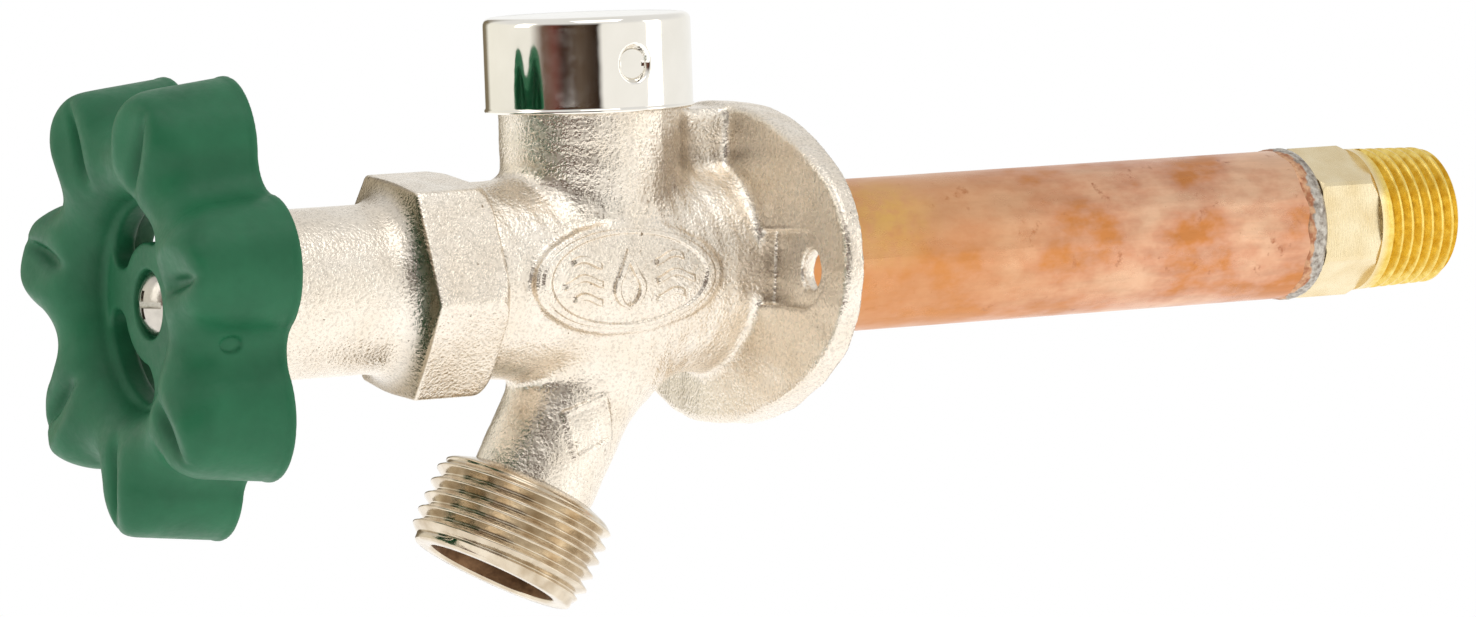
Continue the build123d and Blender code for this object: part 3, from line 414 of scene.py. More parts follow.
BODY_BOX = ((-37.6, -52.6, -38.0), (37.6, 2.6, 26.0))
body_step = 0.4
body = mesh_field("body_casting", body_field, *BODY_BOX, body_step)


def badge_relief():
    """The badge's fine relief: a rim line and the emblem, on a thin oval plate bent round the barrel."""
    rings, turns = 110, 720
    rho = np.linspace(0.002, 1.0, rings)[:, None]
    angle = (np.arange(turns) * 2 * pi / turns)[None]
    along = rho * (BADGE_HALF_LENGTH - 0.35) * np.cos(angle)
    across = rho * (BADGE_HALF_HEIGHT - 0.35) * np.sin(angle)
    widest = np.hypot(BADGE_HALF_LENGTH * np.sin(angle), BADGE_HALF_HEIGHT * np.cos(angle))
    inward = (1 - rho) * BADGE_HALF_LENGTH * BADGE_HALF_HEIGHT / ((1 - rho) * widest).max()
    rim = ramp(inward, 0.25, 0.5) * (1 - ramp(inward, 1.0, 1.3))
    face = BADGE_R + 0.04 + RIM_RELIEF * rim + EMBLEM_RELIEF * emblem(along, across)
    face = np.where(rho > 0.999, BADGE_R - 0.3, face)
    back = np.full(face.shape, BADGE_R - 1.2)
    radius = np.concatenate([face[::-1], back])[::-1]
    along = np.concatenate([along[::-1], along])[::-1]
    turn = np.concatenate([across[::-1], across])[::-1] / BADGE_R
    verts = np.stack([radius * np.cos(turn), BADGE_Y + along, radius * np.sin(turn)], -1)
    return new_mesh("badge_relief", to_row(verts.reshape(-1, 3)), ring_quads(2 * rings, turns))


badge = badge_relief()

# ---------------------------------------------------------------- hose thread
THREAD_PITCH = 25.4 / 11.5
THREAD_CREST_R = 13.42
THREAD_DEPTH = 1.35
THREAD_INSET = 0.6  # from the collar's rear face to the first row
THREAD_END = NOZZLE_REACH - 1.3
THREAD_ROW_GAP = 0.1
HOSE_BORE_R = 9.5
BORE_FACE_ROWS = 4  # bands of faces from the lip to the bore's rear end


def hose_collar():
    """The nozzle's threaded end, with a right-handed thread cut round it."""
    turns = 288
    rows = int((THREAD_END - COLLAR_START - THREAD_INSET) / THREAD_ROW_GAP)
    t = np.linspace(COLLAR_START + THREAD_INSET, THREAD_END, rows)[:, None]
    angle = (np.arange(turns) * 2 * pi / turns)[None]
    phase = (t / THREAD_PITCH - angle / (2 * pi)) % 1.0
    groove = np.clip((0.5 - np.abs(phase - 0.5)) / 0.5 * 1.22 - 0.1, 0, 1)
    fade = ramp(t, COLLAR_START + 0.4, COLLAR_START + 1.6)
    rear = 0.9 * (1 - ramp(t, COLLAR_START + 0.2, COLLAR_START + 1.5))
    outer = THREAD_CREST_R - THREAD_DEPTH * (1 - groove) * fade - rear
    lead = 1.1 * ramp(t, NOZZLE_REACH - 2.6, NOZZLE_REACH - 1.0)
    outer = np.minimum(outer, THREAD_CREST_R - lead)
    # (radius, distance) round the mouth's lip, down the bore and back across the collar's rear face
    lip = [(12.15, -1.25), (12.1, -0.35), (11.95, -0.1), (11.7, 0.0), (9.95, 0.0), (9.65, -0.1)]
    lip.append((HOSE_BORE_R, -0.4))
    tail = [(HOSE_BORE_R, -8.0), (HOSE_BORE_R, -11.0), (7.25, -13.2), (7.25, -14.0)]
    tail += [(9.6, -14.0), (11.9, -13.1), (12.3, -12.9)]
    path = [(r, NOZZLE_REACH + s) for r, s in lip + tail]
    radius = np.concatenate([outer] + [np.full((1, turns), r) for r, _ in path])
    along = np.concatenate([np.broadcast_to(t, outer.shape)] + [np.full((1, turns), s) for _, s in path])
    origin = np.array([0.0, NOZZLE_Y, 0.0])
    piece = lathe("hose_thread", radius, along, origin, NOZZLE_DIR, np.array(ACROSS))
    face_row = np.arange(len(piece.data.polygons)) // turns - (rows + len(lip) - 1)
    bore_faces = (face_row >= 0) & (face_row < BORE_FACE_ROWS)
    index = piece.data.attributes.new("material_index", "INT", "FACE")
    index.data.foreach_set("value", bore_faces.astype(np.int32))
    return piece


collar = hose_collar()

# ---------------------------------------------------------------- bonnet nut
HEX_TURN = radians(-6.7)
HEX_HALF_WIDTH = 14.9
HEX_CHAMFER_R = 15.9
SLEEVE_R = 12.0
# (radius, rear, front) of the bores from the spigot's to the gland's
BONNET_BORES = (
    (13.05, 0.0, -52.0),
    (8.6, -50.0, -70.0),
    (4.83, -60.0, -80.0),
    (7.5, -77.5, -86.0),
    (9.2, -84.6, -90.0),
)


def bonnet_field(x, y, z):
    """Distance to the bonnet nut: hex, long sleeve and stepped bore."""
    r = np.hypot(x, z)
    flats = []
    for k in range(3):
        a = HEX_TURN + pi / 6 + k * pi / 3
        flats.append(np.abs(x * cos(a) + z * sin(a)) - HEX_HALF_WIDTH)
    hexagon = both(both(flats[0], flats[1], 0.7), flats[2], 0.7)
    hexagon = both(hexagon, slab(y, HEX_FRONT_Y, BARREL_FRONT_Y), 0.6)
    hexagon = both(hexagon, (r - HEX_CHAMFER_R - 0.8 * (BARREL_FRONT_Y - y)) * 0.75, 0.6)
    sleeve = both(r - SLEEVE_R, slab(y, SLEEVE_FRONT_Y, HEX_FRONT_Y + 1), 0.8)
    d = join(hexagon, sleeve, 5.2)
    for radius, rear, front in BONNET_BORES:
        d = cut(d, np.maximum(r - radius, slab(y, front, rear)), 0.3)
    return d


BONNET_BOX = ((-17.8, -88.0, -17.8), (17.8, -44.4, 17.8))
bonnet_step = 0.38
bonnet = mesh_field("bonnet_casting", bonnet_field, *BONNET_BOX, bonnet_step)

# ---------------------------------------------------------------- handwheel
HUB_FACE_Y = -93.6
HUB_BACK_Y = -90.0
CREST_R = 33.75
CREST_DRAFT = 0.113
NOTCH_R = 27.2
NOTCH_DRAFT = 0.143
NOTCH_FILLET = 5.0
RIM_WALL = 2.5
RIM_INNER_R = 17.4
HUB_WALL_R = 15.2
BOSS_R = 7.4
BOWL_R = 14.7
WINDOW_R = 11.4
WINDOW_HALF_WIDTH = 2.7
WINDOW_HALF_SPAN = radians(30)
WINDOW_ANGLES = (110, 230, 350)
SCREW_RECESS_R = 4.9
SCREW_SEAT_Y = -92.0
SQUARE_HALF = 3.55
# Ellipsoids hollowed out of each lobe's front: centre (out, y) and half sizes (out, across, y)
VALLEY_OUT, VALLEY_Y = 25.0, -103.0
VALLEY_HALF = (9.0, 4.4, 3.8)
DENT_OUT, DENT_Y = 23.8, -100.4
MARK_Y = -92.5
MARK_R = 33.0
MARK_TURN = radians(9.5)


def lobed(x, z, crest_r, notch_r, fillet):
    """Distance to a seven-lobe outline made of crest and notch arcs."""
    half = pi / LOBES
    angle = np.arctan2(z, x) - LOBE_TURN
    angle = np.abs((angle + half) % (2 * half) - half)
    r = np.hypot(x, z)
    px, py = r * np.cos(angle), r * np.sin(angle)
    notch_c = notch_r + fillet
    lobe_r = crest_r**2 + notch_c**2 - fillet**2 - 2 * crest_r * notch_c * cos(half)
    lobe_r = lobe_r / (2 * (crest_r + fillet - notch_c * cos(half)))
    lobe_c = crest_r - lobe_r
    nx, ny = notch_c * cos(half), notch_c * sin(half)
    on_notch = (nx - lobe_c) * py - ny * (px - lobe_c) > 0
    return np.where(on_notch, fillet - np.hypot(px - nx, py - ny), np.hypot(px - lobe_c, py) - lobe_r)


def ellipsoid(u, v, w, half):
    """Below 0 inside an ellipsoid with those half sizes."""
    return np.sqrt((u / half[0]) ** 2 + (v / half[1]) ** 2 + (w / half[2]) ** 2) - 1


def handle_field(x, y, z):
    """Distance to the handwheel: a hollow lobed rim, a bowl in front, hub, spokes and screw recess."""
    depth = HANDLE_REAR_Y - y
    crest_r = CREST_R - CREST_DRAFT * depth
    notch_r = NOTCH_R - NOTCH_DRAFT * depth - 0.05 * np.maximum(depth - 9.0, 0) ** 2
    side = lobed(x, z, crest_r, notch_r, NOTCH_FILLET) + 0.12 * ramp(depth, 0.9, 1.3)
    r = np.hypot(x, z)
    angle = np.arctan2(z, x)
    # A small round mark on the side of one lobe
    mark = np.hypot(y - MARK_Y, MARK_R * (angle + MARK_TURN))
    side = side + 0.45 * ramp(1.7 - mark, 0.0, 0.4)
    front = HANDLE_FRONT_Y - y
    phase = np.cos(LOBES * (angle - LOBE_TURN))
    shape = both(side, front, 6.5 - 2.0 * phase)
    # Bowl in front, with a wide rounded brim
    bowl_r = BOWL_R + 0.04 * np.maximum(HUB_FACE_Y - y, 0) ** 2
    shape = cut(shape, both(r - bowl_r, y - HUB_FACE_Y, 1.2), 9.0)
    # On the front of every lobe, a shallow valley and a narrow dent along its middle
    half = pi / LOBES
    turn = (angle - LOBE_TURN + radians(4) + half) % (2 * half) - half
    across, out = r * np.sin(turn), r * np.cos(turn)
    valley = ellipsoid(out - VALLEY_OUT, across, y - VALLEY_Y, VALLEY_HALF)
    width = 1.3 - 0.05 * (out - DENT_OUT)
    dent = ellipsoid(out - DENT_OUT, across, y - DENT_Y, (6.0, width, 2.7))
    shape = cut(cut(shape, valley * 3.6, 2.0), dent * 1.2, 0.9)
    d = both(shape, y - HANDLE_REAR_Y, 0.5)
    # Hollow behind the rim, and round the hub boss
    d = cut(d, np.maximum(shape + RIM_WALL, RIM_INNER_R - r), 0.6)
    d = cut(d, np.maximum(np.maximum(r - HUB_WALL_R, BOSS_R - r), HUB_BACK_Y - y), 0.5)
    d = cut(d, np.maximum(np.maximum(r - 17.5, BOSS_R - r), -86.6 - y), 0.3)
    d = cut(d, np.maximum(r - 8.0, -85.2 - y), 0.3)
    # Windows between the spokes
    for middle in WINDOW_ANGLES:
        turn = (angle - radians(middle) + pi) % (2 * pi) - pi
        beyond = np.maximum(np.abs(turn) - WINDOW_HALF_SPAN, 0)
        window = np.hypot(r - WINDOW_R, 2 * WINDOW_R * np.sin(beyond / 2)) - WINDOW_HALF_WIDTH
        window = np.maximum(window, slab(y, HUB_FACE_Y - 2, HUB_BACK_Y + 2))
        d = cut(d, window, 0.7)
    # Screw recess and square hole
    d = cut(d, np.maximum(r - SCREW_RECESS_R, slab(y, -95.0, SCREW_SEAT_Y)), 0.4)
    u = x * cos(LOBE_TURN) + z * sin(LOBE_TURN)
    v = z * cos(LOBE_TURN) - x * sin(LOBE_TURN)
    square = np.maximum(np.abs(u), np.abs(v)) - SQUARE_HALF
    return cut(d, np.maximum(square, slab(y, SCREW_SEAT_Y, -80.0)), 0.2)


WHEEL_BOX = ((-34.6, -102.2, -34.6), (34.6, -83.9, 34.6))
handle_step = 0.38
wheel = mesh_field("handwheel", handle_field, *WHEEL_BOX, handle_step)

# ---------------------------------------------------------------- vacuum breaker cap
LOCK_SCREW_Z = 30.3
DIMPLE_DEPTH = 1.25
CAP_INNER_R = 13.8


def cap_shell():
    """Drawn cap with a rolled lower edge and a round dimple over the lock screw."""
    turns = 400
    wall_rows = 44
    z = np.linspace(CAP_LOW + 0.8, CAP_TOP - 1.2, wall_rows)[:, None]
    angle = (np.arange(turns) * 2 * pi / turns)[None]
    across = CAP_R * np.sin((angle + pi) % (2 * pi) - pi)
    facing = np.cos(angle) > 0
    gap = np.hypot(1.12 * across, z - LOCK_SCREW_Z)
    dimple = DIMPLE_DEPTH * (1 - ramp(gap, 2.05, 2.8)) * facing
    wall = CAP_R - dimple
    inner = np.minimum(CAP_INNER_R, wall[::-1] - 0.12)
    # (radius, height) over the rounded top edge to the middle, back under the roof, and round the lip;
    # the edge's radii are counted from the cap's own
    edge = [(-0.04, -0.85), (-0.2, -0.5), (-0.5, -0.22), (-0.9, -0.06), (-1.4, 0.0)]
    top = [(CAP_R + dr, dh) for dr, dh in edge] + [(10.0, 0.0), (0.4, 0.0), (0.01, 0.0)]
    roof = [(0.01, -0.7), (13.3, -0.7), (13.7, -0.9)]
    lip = [(CAP_INNER_R, 0.0), (14.85, 0.0), (15.05, 0.1), (15.1, 0.3), (15.05, 0.5), (14.92, 0.65)]

    def rings(points, level):
        return [(np.full((1, turns), r), np.full((1, turns), level + h)) for r, h in points]

    heights = np.broadcast_to(z, wall.shape)
    upper, lower = rings(top + roof, CAP_TOP), rings(lip, CAP_LOW)
    parts = [(wall, heights), *upper, (inner, heights[::-1]), *lower]
    radius = np.concatenate([p[0] for p in parts])
    along = np.concatenate([p[1] for p in parts])
    origin = np.array([0.0, BREAKER_Y, 0.0])
    return lathe("cap_shell", radius, along, origin, np.array(UP), np.array(ACROSS))


cap = cap_shell()

# ---------------------------------------------------------------- solder seam
def solder_bead():
    """The uneven solder seam between tube and inlet fitting."""
    rng = np.random.default_rng(7)
    turns = 240
    angle = np.arange(turns) * 2 * pi / turns

    def wander(terms, size):
        out = np.zeros(turns)
        for k in range(1, terms + 1):
            out += rng.normal() / sqrt(k) * np.cos(k * angle + rng.uniform(0, 2 * pi))
        return size * out / sqrt(terms) * 1.4

    # (radius, distance behind the ring's front edge), from the tube's side round to the fitting's
    profile = ((10.9, -0.9), (11.13, -0.5), (11.25, 0.0), (11.34, 0.8), (11.32, 1.6), (11.12, 2.4),
               (10.6, 2.9), (9.95, 2.95), (9.95, 1.6), (10.9, 1.4))
    radius, along = [], []
    even = np.zeros(turns)
    front = wander(14, 0.42)
    rear = wander(10, 0.25)
    swell = wander(18, 0.12)
    for k, (r, y) in enumerate(profile):
        outside = 2 <= k <= 5
        shift = front if k < 4 else rear
        radius.append(r + (swell + rng.normal(0, 0.03, turns) if outside else even))
        along.append(SEAM_Y + y + (shift if 0 < k < 6 else even))
    radius, along = np.array(radius), np.array(along)
    return lathe("solder_bead", radius, along, np.zeros(3), np.array(ALONG_TUBE), np.array(ACROSS))


bead = solder_bead()

# ---------------------------------------------------------------- materials
MM_PER_M = 1 / MM
# The colour sockets of a Mix node
MIX_A, MIX_B, MIX_RESULT = 6, 7, 2


class Finish:
    """A Principled material with helpers for procedural detail, in the valve's own frame in mm."""

    def __init__(self, name, **sockets):
        self.material = bpy.data.materials.new(name)
        self.material.use_nodes = True
        tree = self.material.node_tree
        self.nodes, self.links = tree.nodes, tree.links
        self.shader = self.nodes["Principled BSDF"]
        for key, value in sockets.items():
            self.shader.inputs[key.replace("_", " ")].default_value = value
        coords = self.nodes.new("ShaderNodeTexCoord")
        place = self.nodes.new("ShaderNodeMapping")
        place.inputs["Rotation"].default_value = (-PITCH, 0, 0)
        place.inputs["Scale"].default_value = (MM_PER_M, MM_PER_M, MM_PER_M)
        self.links.new(coords.outputs["Object"], place.inputs["Vector"])
        self.point = place.outputs["Vector"]
        self.normal = None

    def scaled(self, stretch):
        node = self.nodes.new("ShaderNodeMapping")
        node.inputs["Scale"].default_value = stretch
        self.links.new(self.point, node.inputs["Vector"])
        return node.outputs["Vector"]

    def noise(self, size, detail=3, rough=0.5, stretch=None):
        """Noise with features of that size in mm."""
        node = self.nodes.new("ShaderNodeTexNoise")
        node.inputs["Scale"].default_value = 1 / size
        node.inputs["Detail"].default_value = detail
        node.inputs["Roughness"].default_value = rough
        self.links.new(self.scaled(stretch) if stretch else self.point, node.inputs["Vector"])
        return node.outputs["Fac"]

    def ramp(self, value, *stops):
        """Colours or grey levels at positions along value."""
        node = self.nodes.new("ShaderNodeValToRGB")
        elements = node.color_ramp.elements
        while len(elements) < len(stops):
            elements.new(0.5)
        for element, (position, colour) in zip(elements, stops):
            element.position = position
            element.color = (*((colour,) * 3 if isinstance(colour, (int, float)) else colour), 1)
        self.links.new(value, node.inputs["Fac"])
        return node.outputs["Color"]

    def along(self, low, high, axis="Y"):
        """0 to 1 between two places on one axis of the valve's own frame."""
        split = self.nodes.new("ShaderNodeSeparateXYZ")
        self.links.new(self.point, split.inputs[0])
        node = self.nodes.new("ShaderNodeMapRange")
        node.inputs["From Min"].default_value = low
        node.inputs["From Max"].default_value = high
        self.links.new(split.outputs[axis], node.inputs["Value"])
        return node.outputs["Result"]

    def near(self, middle, reach):
        """Distance from a point, as a share of reach."""
        node = self.nodes.new("ShaderNodeVectorMath")
        node.operation = "DISTANCE"
        node.inputs[1].default_value = middle
        self.links.new(self.point, node.inputs[0])
        share = self.nodes.new("ShaderNodeMath")
        share.operation = "DIVIDE"
        share.inputs[1].default_value = reach
        self.links.new(node.outputs["Value"], share.inputs[0])
        return share.outputs[0]

    def mix(self, factor, a, b, blend="MIX"):
        node = self.nodes.new("ShaderNodeMix")
        node.data_type = "RGBA"
        node.blend_type = blend
        sockets = (node.inputs["Factor"], node.inputs[MIX_A], node.inputs[MIX_B])
        for socket, value in zip(sockets, (factor, a, b)):
            if isinstance(value, bpy.types.NodeSocket):
                self.links.new(value, socket)
            elif isinstance(value, tuple):
                socket.default_value = (*value, 1)
            else:
                socket.default_value = value
        return node.outputs[MIX_RESULT]

    def bump(self, height, depth, strength=1.0):
        """Relief of that depth in mm, over what was there before."""
        node = self.nodes.new("ShaderNodeBump")
        node.inputs["Distance"].default_value = depth * MM
        node.inputs["Strength"].default_value = strength
        self.links.new(height, node.inputs["Height"])
        if self.normal:
            self.links.new(self.normal, node.inputs["Normal"])
        self.normal = node.outputs["Normal"]
        self.links.new(self.normal, self.shader.inputs["Normal"])

    def drive(self, socket, value):
        self.links.new(value, self.shader.inputs[socket])


def nickel_cast():
    f = Finish("nickel_cast", Metallic=1.0)
    blotch = f.noise(7.0, 4)
    tone = f.ramp(blotch, (0.3, (0.83, 0.735, 0.615)), (0.7, (0.91, 0.835, 0.735)))
    grain = f.noise(0.45, 2, 0.5)
    tone = f.mix(1.0, tone, f.ramp(grain, (0.36, 0.82), (0.5, 1.0)), "MULTIPLY")
    # Painted shade: a darker band in the corner in front of the hex stands in for the shadow there and the
    # reflection of the handle's shaded back
    painted_shade = (0.45, 0.40, 0.32)
    hex_front = f.along(-59.8, -56.0)
    painted_corner_shade = f.ramp(hex_front, (0.0, 1.0), (0.45, 0.80), (0.78, painted_shade), (0.88, painted_shade), (0.93, 1.0))
    tone = f.mix(1.0, tone, painted_corner_shade, "MULTIPLY")
    # Painted shadow: the sleeve's mouth, seen through the handle's windows, is darkened in colour to stand in
    # for the shade inside the handle
    painted_mouth_shadow = f.ramp(f.along(-88.0, -86.0), (0.0, (0.16, 0.13, 0.10)), (0.4, (0.22, 0.19, 0.15)), (0.9, 1.0))
    tone = f.mix(1.0, tone, painted_mouth_shadow, "MULTIPLY")
    pits = f.ramp(f.noise(1.1, 4, 0.7), (0.27, 0.0), (0.31, 1.0))
    f.drive("Base Color", f.mix(pits, (0.25, 0.17, 0.10), tone))
    f.drive("Roughness", f.ramp(f.noise(1.3, 3), (0.3, 0.20), (0.7, 0.32)))
    f.bump(grain, 0.15)
    f.bump(f.noise(1.5, 2), 0.06)
    f.bump(pits, 0.1)
    return f.material


def nickel_turned():
    f = Finish("nickel_turned", Metallic=1.0)
    f.drive("Base Color", f.ramp(f.noise(3.0, 4), (0.3, (0.50, 0.40, 0.28)), (0.7, (0.74, 0.65, 0.52))))
    f.drive("Roughness", f.ramp(f.noise(0.9, 4), (0.3, 0.10), (0.75, 0.22)))
    f.bump(f.noise(0.5, 3), 0.02)
    return f.material


def bore_brass():
    f = Finish("bore_brass", Metallic=1.0)
    f.drive("Base Color", f.ramp(f.noise(2.5, 4), (0.3, (0.10, 0.05, 0.025)), (0.7, (0.24, 0.135, 0.07))))
    f.drive("Roughness", f.ramp(f.noise(1.0), (0.3, 0.35), (0.7, 0.55)))
    f.bump(f.noise(0.8, 3), 0.05)
    return f.material


def chrome():
    f = Finish("chrome_plate", Metallic=1.0)
    f.drive("Base Color", f.ramp(f.noise(9.0, 3), (0.3, (0.85, 0.82, 0.76)), (0.7, (0.93, 0.90, 0.85))))
    f.drive("Roughness", f.ramp(f.noise(4.0, 5, 0.6), (0.35, 0.05), (0.75, 0.12)))
    f.bump(f.noise(5.0, 2), 0.03)
    return f.material


def green_enamel():
    f = Finish("green_enamel", Specular_IOR_Level=0.3)
    f.drive("Base Color", f.ramp(f.noise(6.0, 4), (0.3, (0.012, 0.112, 0.048)), (0.7, (0.018, 0.145, 0.064))))
    f.drive("Roughness", f.ramp(f.noise(1.2, 3), (0.3, 0.40), (0.7, 0.52)))
    f.bump(f.noise(0.8, 2), 0.035)
    f.bump(f.noise(3.0, 2), 0.05)
    return f.material


def steel(name, base, rough):
    f = Finish(name, Metallic=1.0)
    dark = tuple(0.8 * c for c in base)
    f.drive("Base Color", f.ramp(f.noise(1.5, 4), (0.3, dark), (0.7, base)))
    f.drive("Roughness", f.ramp(f.noise(0.7, 4), (0.3, 0.8 * rough), (0.7, 1.25 * rough)))
    f.bump(f.noise(0.6, 4), 0.02)
    return f.material


def copper():
    f = Finish("copper_tube", Metallic=1.0)
    pale, pink, orange = (0.78, 0.48, 0.31), (0.66, 0.33, 0.20), (0.60, 0.235, 0.075)
    blotch = f.ramp(f.noise(13.0, 5, 0.6, (1, 0.7, 1)), (0.38, orange), (0.46, pink), (0.58, pale))
    streak = f.ramp(f.noise(1.6, 4, 0.6, (1, 0.2, 1)), (0.35, 0.88), (0.6, 1.0))
    tint = f.mix(1.0, blotch, streak, "MULTIPLY")
    stain = f.ramp(f.noise(3.2, 5, 0.7), (0.62, 0.0), (0.72, 1.0))
    tint = f.mix(stain, tint, (0.42, 0.17, 0.09))
    heat = f.ramp(f.along(4.0, 62.0), (0.0, 0.75), (0.45, 0.5), (1.0, 0.0))
    tint = f.mix(heat, tint, (0.62, 0.27, 0.09))
    patch = f.ramp(f.near((9.0, 19.0, 6.5), 10.0), (0.1, 0.6), (0.95, 0.0))
    patch = f.mix(1.0, patch, f.ramp(f.noise(3.0, 4, 0.6), (0.35, 0.25), (0.55, 1.0)), "MULTIPLY")
    f.drive("Base Color", f.mix(patch, tint, (0.74, 0.47, 0.12)))
    f.drive("Roughness", f.ramp(f.noise(4.0, 5, 0.65, (1, 0.4, 1)), (0.3, 0.22), (0.7, 0.42)))
    f.bump(f.noise(0.9, 3, 0.5, (1, 0.08, 1)), 0.02)
    f.bump(f.noise(6.0, 2), 0.05)
    return f.material


def solder():
    f = Finish("tin_solder", Metallic=1.0)
    grey = f.ramp(f.noise(1.0, 5, 0.65), (0.35, (0.22, 0.18, 0.15)), (0.6, (0.58, 0.54, 0.48)))
    rust = f.ramp(f.noise(1.4, 4, 0.6), (0.4, (0.40, 0.17, 0.09)), (0.6, (0.66, 0.40, 0.24)))
    wander = f.nodes.new("ShaderNodeMath")
    wander.operation = "MULTIPLY_ADD"
    wander.inputs[1].default_value = 0.9
    f.links.new(f.noise(3.0, 3), wander.inputs[0])
    f.links.new(f.along(89.6, 94.0), wander.inputs[2])
    line = f.ramp(wander.outputs[0], (0.70, 0.0), (0.78, 1.0), (1.0, 1.0), (1.0, 1.0))
    f.drive("Base Color", f.mix(line, rust, grey))
    f.drive("Roughness", f.ramp(f.noise(0.8, 4), (0.3, 0.35), (0.7, 0.6)))
    f.bump(f.noise(0.8, 4, 0.6), 0.12)
    return f.material


def inlet_brass():
    f = Finish("inlet_brass", Metallic=1.0)
    hexagon = f.ramp(f.noise(5.0, 4), (0.3, (0.74, 0.59, 0.34)), (0.7, (0.86, 0.74, 0.50)))
    thread = f.ramp(f.noise(1.2, 4), (0.3, (0.72, 0.49, 0.09)), (0.7, (0.90, 0.70, 0.22)))
    f.drive("Base Color", f.mix(f.along(103.0, 104.6), hexagon, thread))
    f.drive("Roughness", f.ramp(f.noise(0.8, 4, 0.5, (1, 3, 1)), (0.3, 0.20), (0.7, 0.36)))
    f.bump(f.noise(0.5, 3, 0.5, (0.3, 3, 0.3)), 0.02)
    return f.material


def brass():
    f = Finish("machined_brass", Metallic=1.0)
    f.drive("Base Color", f.ramp(f.noise(3.0, 4), (0.3, (0.66, 0.46, 0.18)), (0.7, (0.82, 0.62, 0.30))))
    f.drive("Roughness", f.ramp(f.noise(0.7, 4), (0.3, 0.22), (0.7, 0.38)))
    f.bump(f.noise(0.5, 3), 0.02)
    return f.material


def moulded(name, dark, light, rough):
    f = Finish(name)
    f.drive("Base Color", f.ramp(f.noise(2.5, 4), (0.3, dark), (0.7, light)))
    f.drive("Roughness", f.ramp(f.noise(0.9, 3), (0.3, 0.85 * rough), (0.7, 1.15 * rough)))
    f.bump(f.noise(0.6, 3), 0.03)
    return f.material


casting, turned, bore = nickel_cast(), nickel_turned(), bore_brass()
FINISHES = {
    "nickel_casting": casting,
    "chrome": chrome(),
    "green_enamel": green_enamel(),
    "screw_steel": steel("screw_steel", (0.62, 0.58, 0.52), 0.20),
    "copper": copper(),
    "solder": solder(),
    "brass": brass(),
    "gland_packing": moulded("gland_packing", (0.70, 0.70, 0.67), (0.86, 0.86, 0.83), 0.55),
    "black_rubber": moulded("black_rubber", (0.012, 0.012, 0.012), (0.03, 0.03, 0.03), 0.6),
    "breaker_plastic": moulded("breaker_plastic", (0.60, 0.59, 0.55), (0.74, 0.73, 0.69), 0.45),
    "spring_steel": steel("spring_steel", (0.62, 0.62, 0.61), 0.24),
}


def dress(piece, *materials):
    slots = piece.data.materials
    while len(slots) < len(materials):
        slots.append(None)
    for index in range(len(slots)):
        slots[index] = materials[min(index, len(materials) - 1)]


for part in frame["record"]["subparts"]:
    dress(frame["nodes"][part["node"]], FINISHES[part["material_slot"]])
dress(frame["nodes"]["inlet_fitting"], inlet_brass())

# ---------------------------------------------------------------- pieces on their bodies
PIECES = (
    (body, "hydrant", "nickel_casting", ("valve_body",), (casting,)),
    (badge, "hydrant", "nickel_casting", ("valve_body",), (casting,)),
    (collar, "hydrant", "nickel_casting", ("valve_body",), (turned, bore)),
    (bonnet, "hydrant", "nickel_casting", ("bonnet_nut",), (casting,)),
    (wheel, "stem", "green_enamel", ("handle",), (FINISHES["green_enamel"],)),
    (cap, "hydrant", "chrome", ("vacuum_breaker_cap",), (FINISHES["chrome"],)),
    (bead, "hydrant", "solder", ("inlet_solder_ring",), (FINISHES["solder"],)),
)
for piece, carrier, finish_slot, nodes, materials in PIECES:
    dress(piece, *materials)
    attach(piece, carrier)
    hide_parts(*nodes)

# The breaker's spring, which on the real valve shortens as the poppet lifts towards its fixed upper end: a
# copy of its CAD mesh with data of its own, and its lowest and highest reach
spring = bpy.data.objects.new("breaker_spring", frame["nodes"]["vacuum_breaker_spring"].data.copy())
bpy.context.scene.collection.objects.link(spring)
dress(spring, FINISHES["spring_steel"])
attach(spring, "hydrant")
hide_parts("vacuum_breaker_spring")
spring_foot, spring_head = span("vacuum_breaker_spring", UP)
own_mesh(spring)

# ---------------------------------------------------------------- camera
# Fitted to the photo; distance and lens in mm
CAMERA_AZ = radians(62.24)
CAMERA_EL = radians(3.879)
CAMERA_ROLL = 0.03543
CAMERA_FAR = 1098.73
CAMERA_LENS = 185.07
CAMERA_SHIFT = (-0.0026, -0.0312)
ahead = np.array([-sin(CAMERA_AZ) * cos(CAMERA_EL), cos(CAMERA_AZ) * cos(CAMERA_EL), -sin(CAMERA_EL)])
level = np.array([cos(CAMERA_AZ), sin(CAMERA_AZ), 0.0])
upward = np.cross(level, ahead)
right = cos(CAMERA_ROLL) * level - sin(CAMERA_ROLL) * upward
top = sin(CAMERA_ROLL) * level + cos(CAMERA_ROLL) * upward
eye = to_row(-CAMERA_FAR * ahead)
right, top, back = (to_row(v) / MM for v in (right, top, -ahead))
camera = bpy.data.objects.new("camera", bpy.data.cameras.new("camera"))
camera.data.sensor_width = 36.0
camera.data.lens = CAMERA_LENS
camera.data.shift_x, camera.data.shift_y = CAMERA_SHIFT
camera.matrix_world = Matrix([(right[i], top[i], back[i], eye[i]) for i in range(3)] + [(0, 0, 0, 1)])
bpy.context.scene.collection.objects.link(camera)
bpy.context.scene.camera = camera

# ---------------------------------------------------------------- floor, light and surroundings
low, high = cad_box
centre = (low + high) / 2
FLOOR_DROP = 0.12
FLOOR_Z = low.z - FLOOR_DROP
FLOOR_HALF_SIZE = 1.2
FLOOR_GLOW = 0.38


def plane(name, size, place):
    corners = [(-size, -size, 0), (size, -size, 0), (size, size, 0), (-size, size, 0)]
    return new_mesh(name, [Vector(c) + Vector(place) for c in corners], np.array([[0, 1, 2, 3]]))


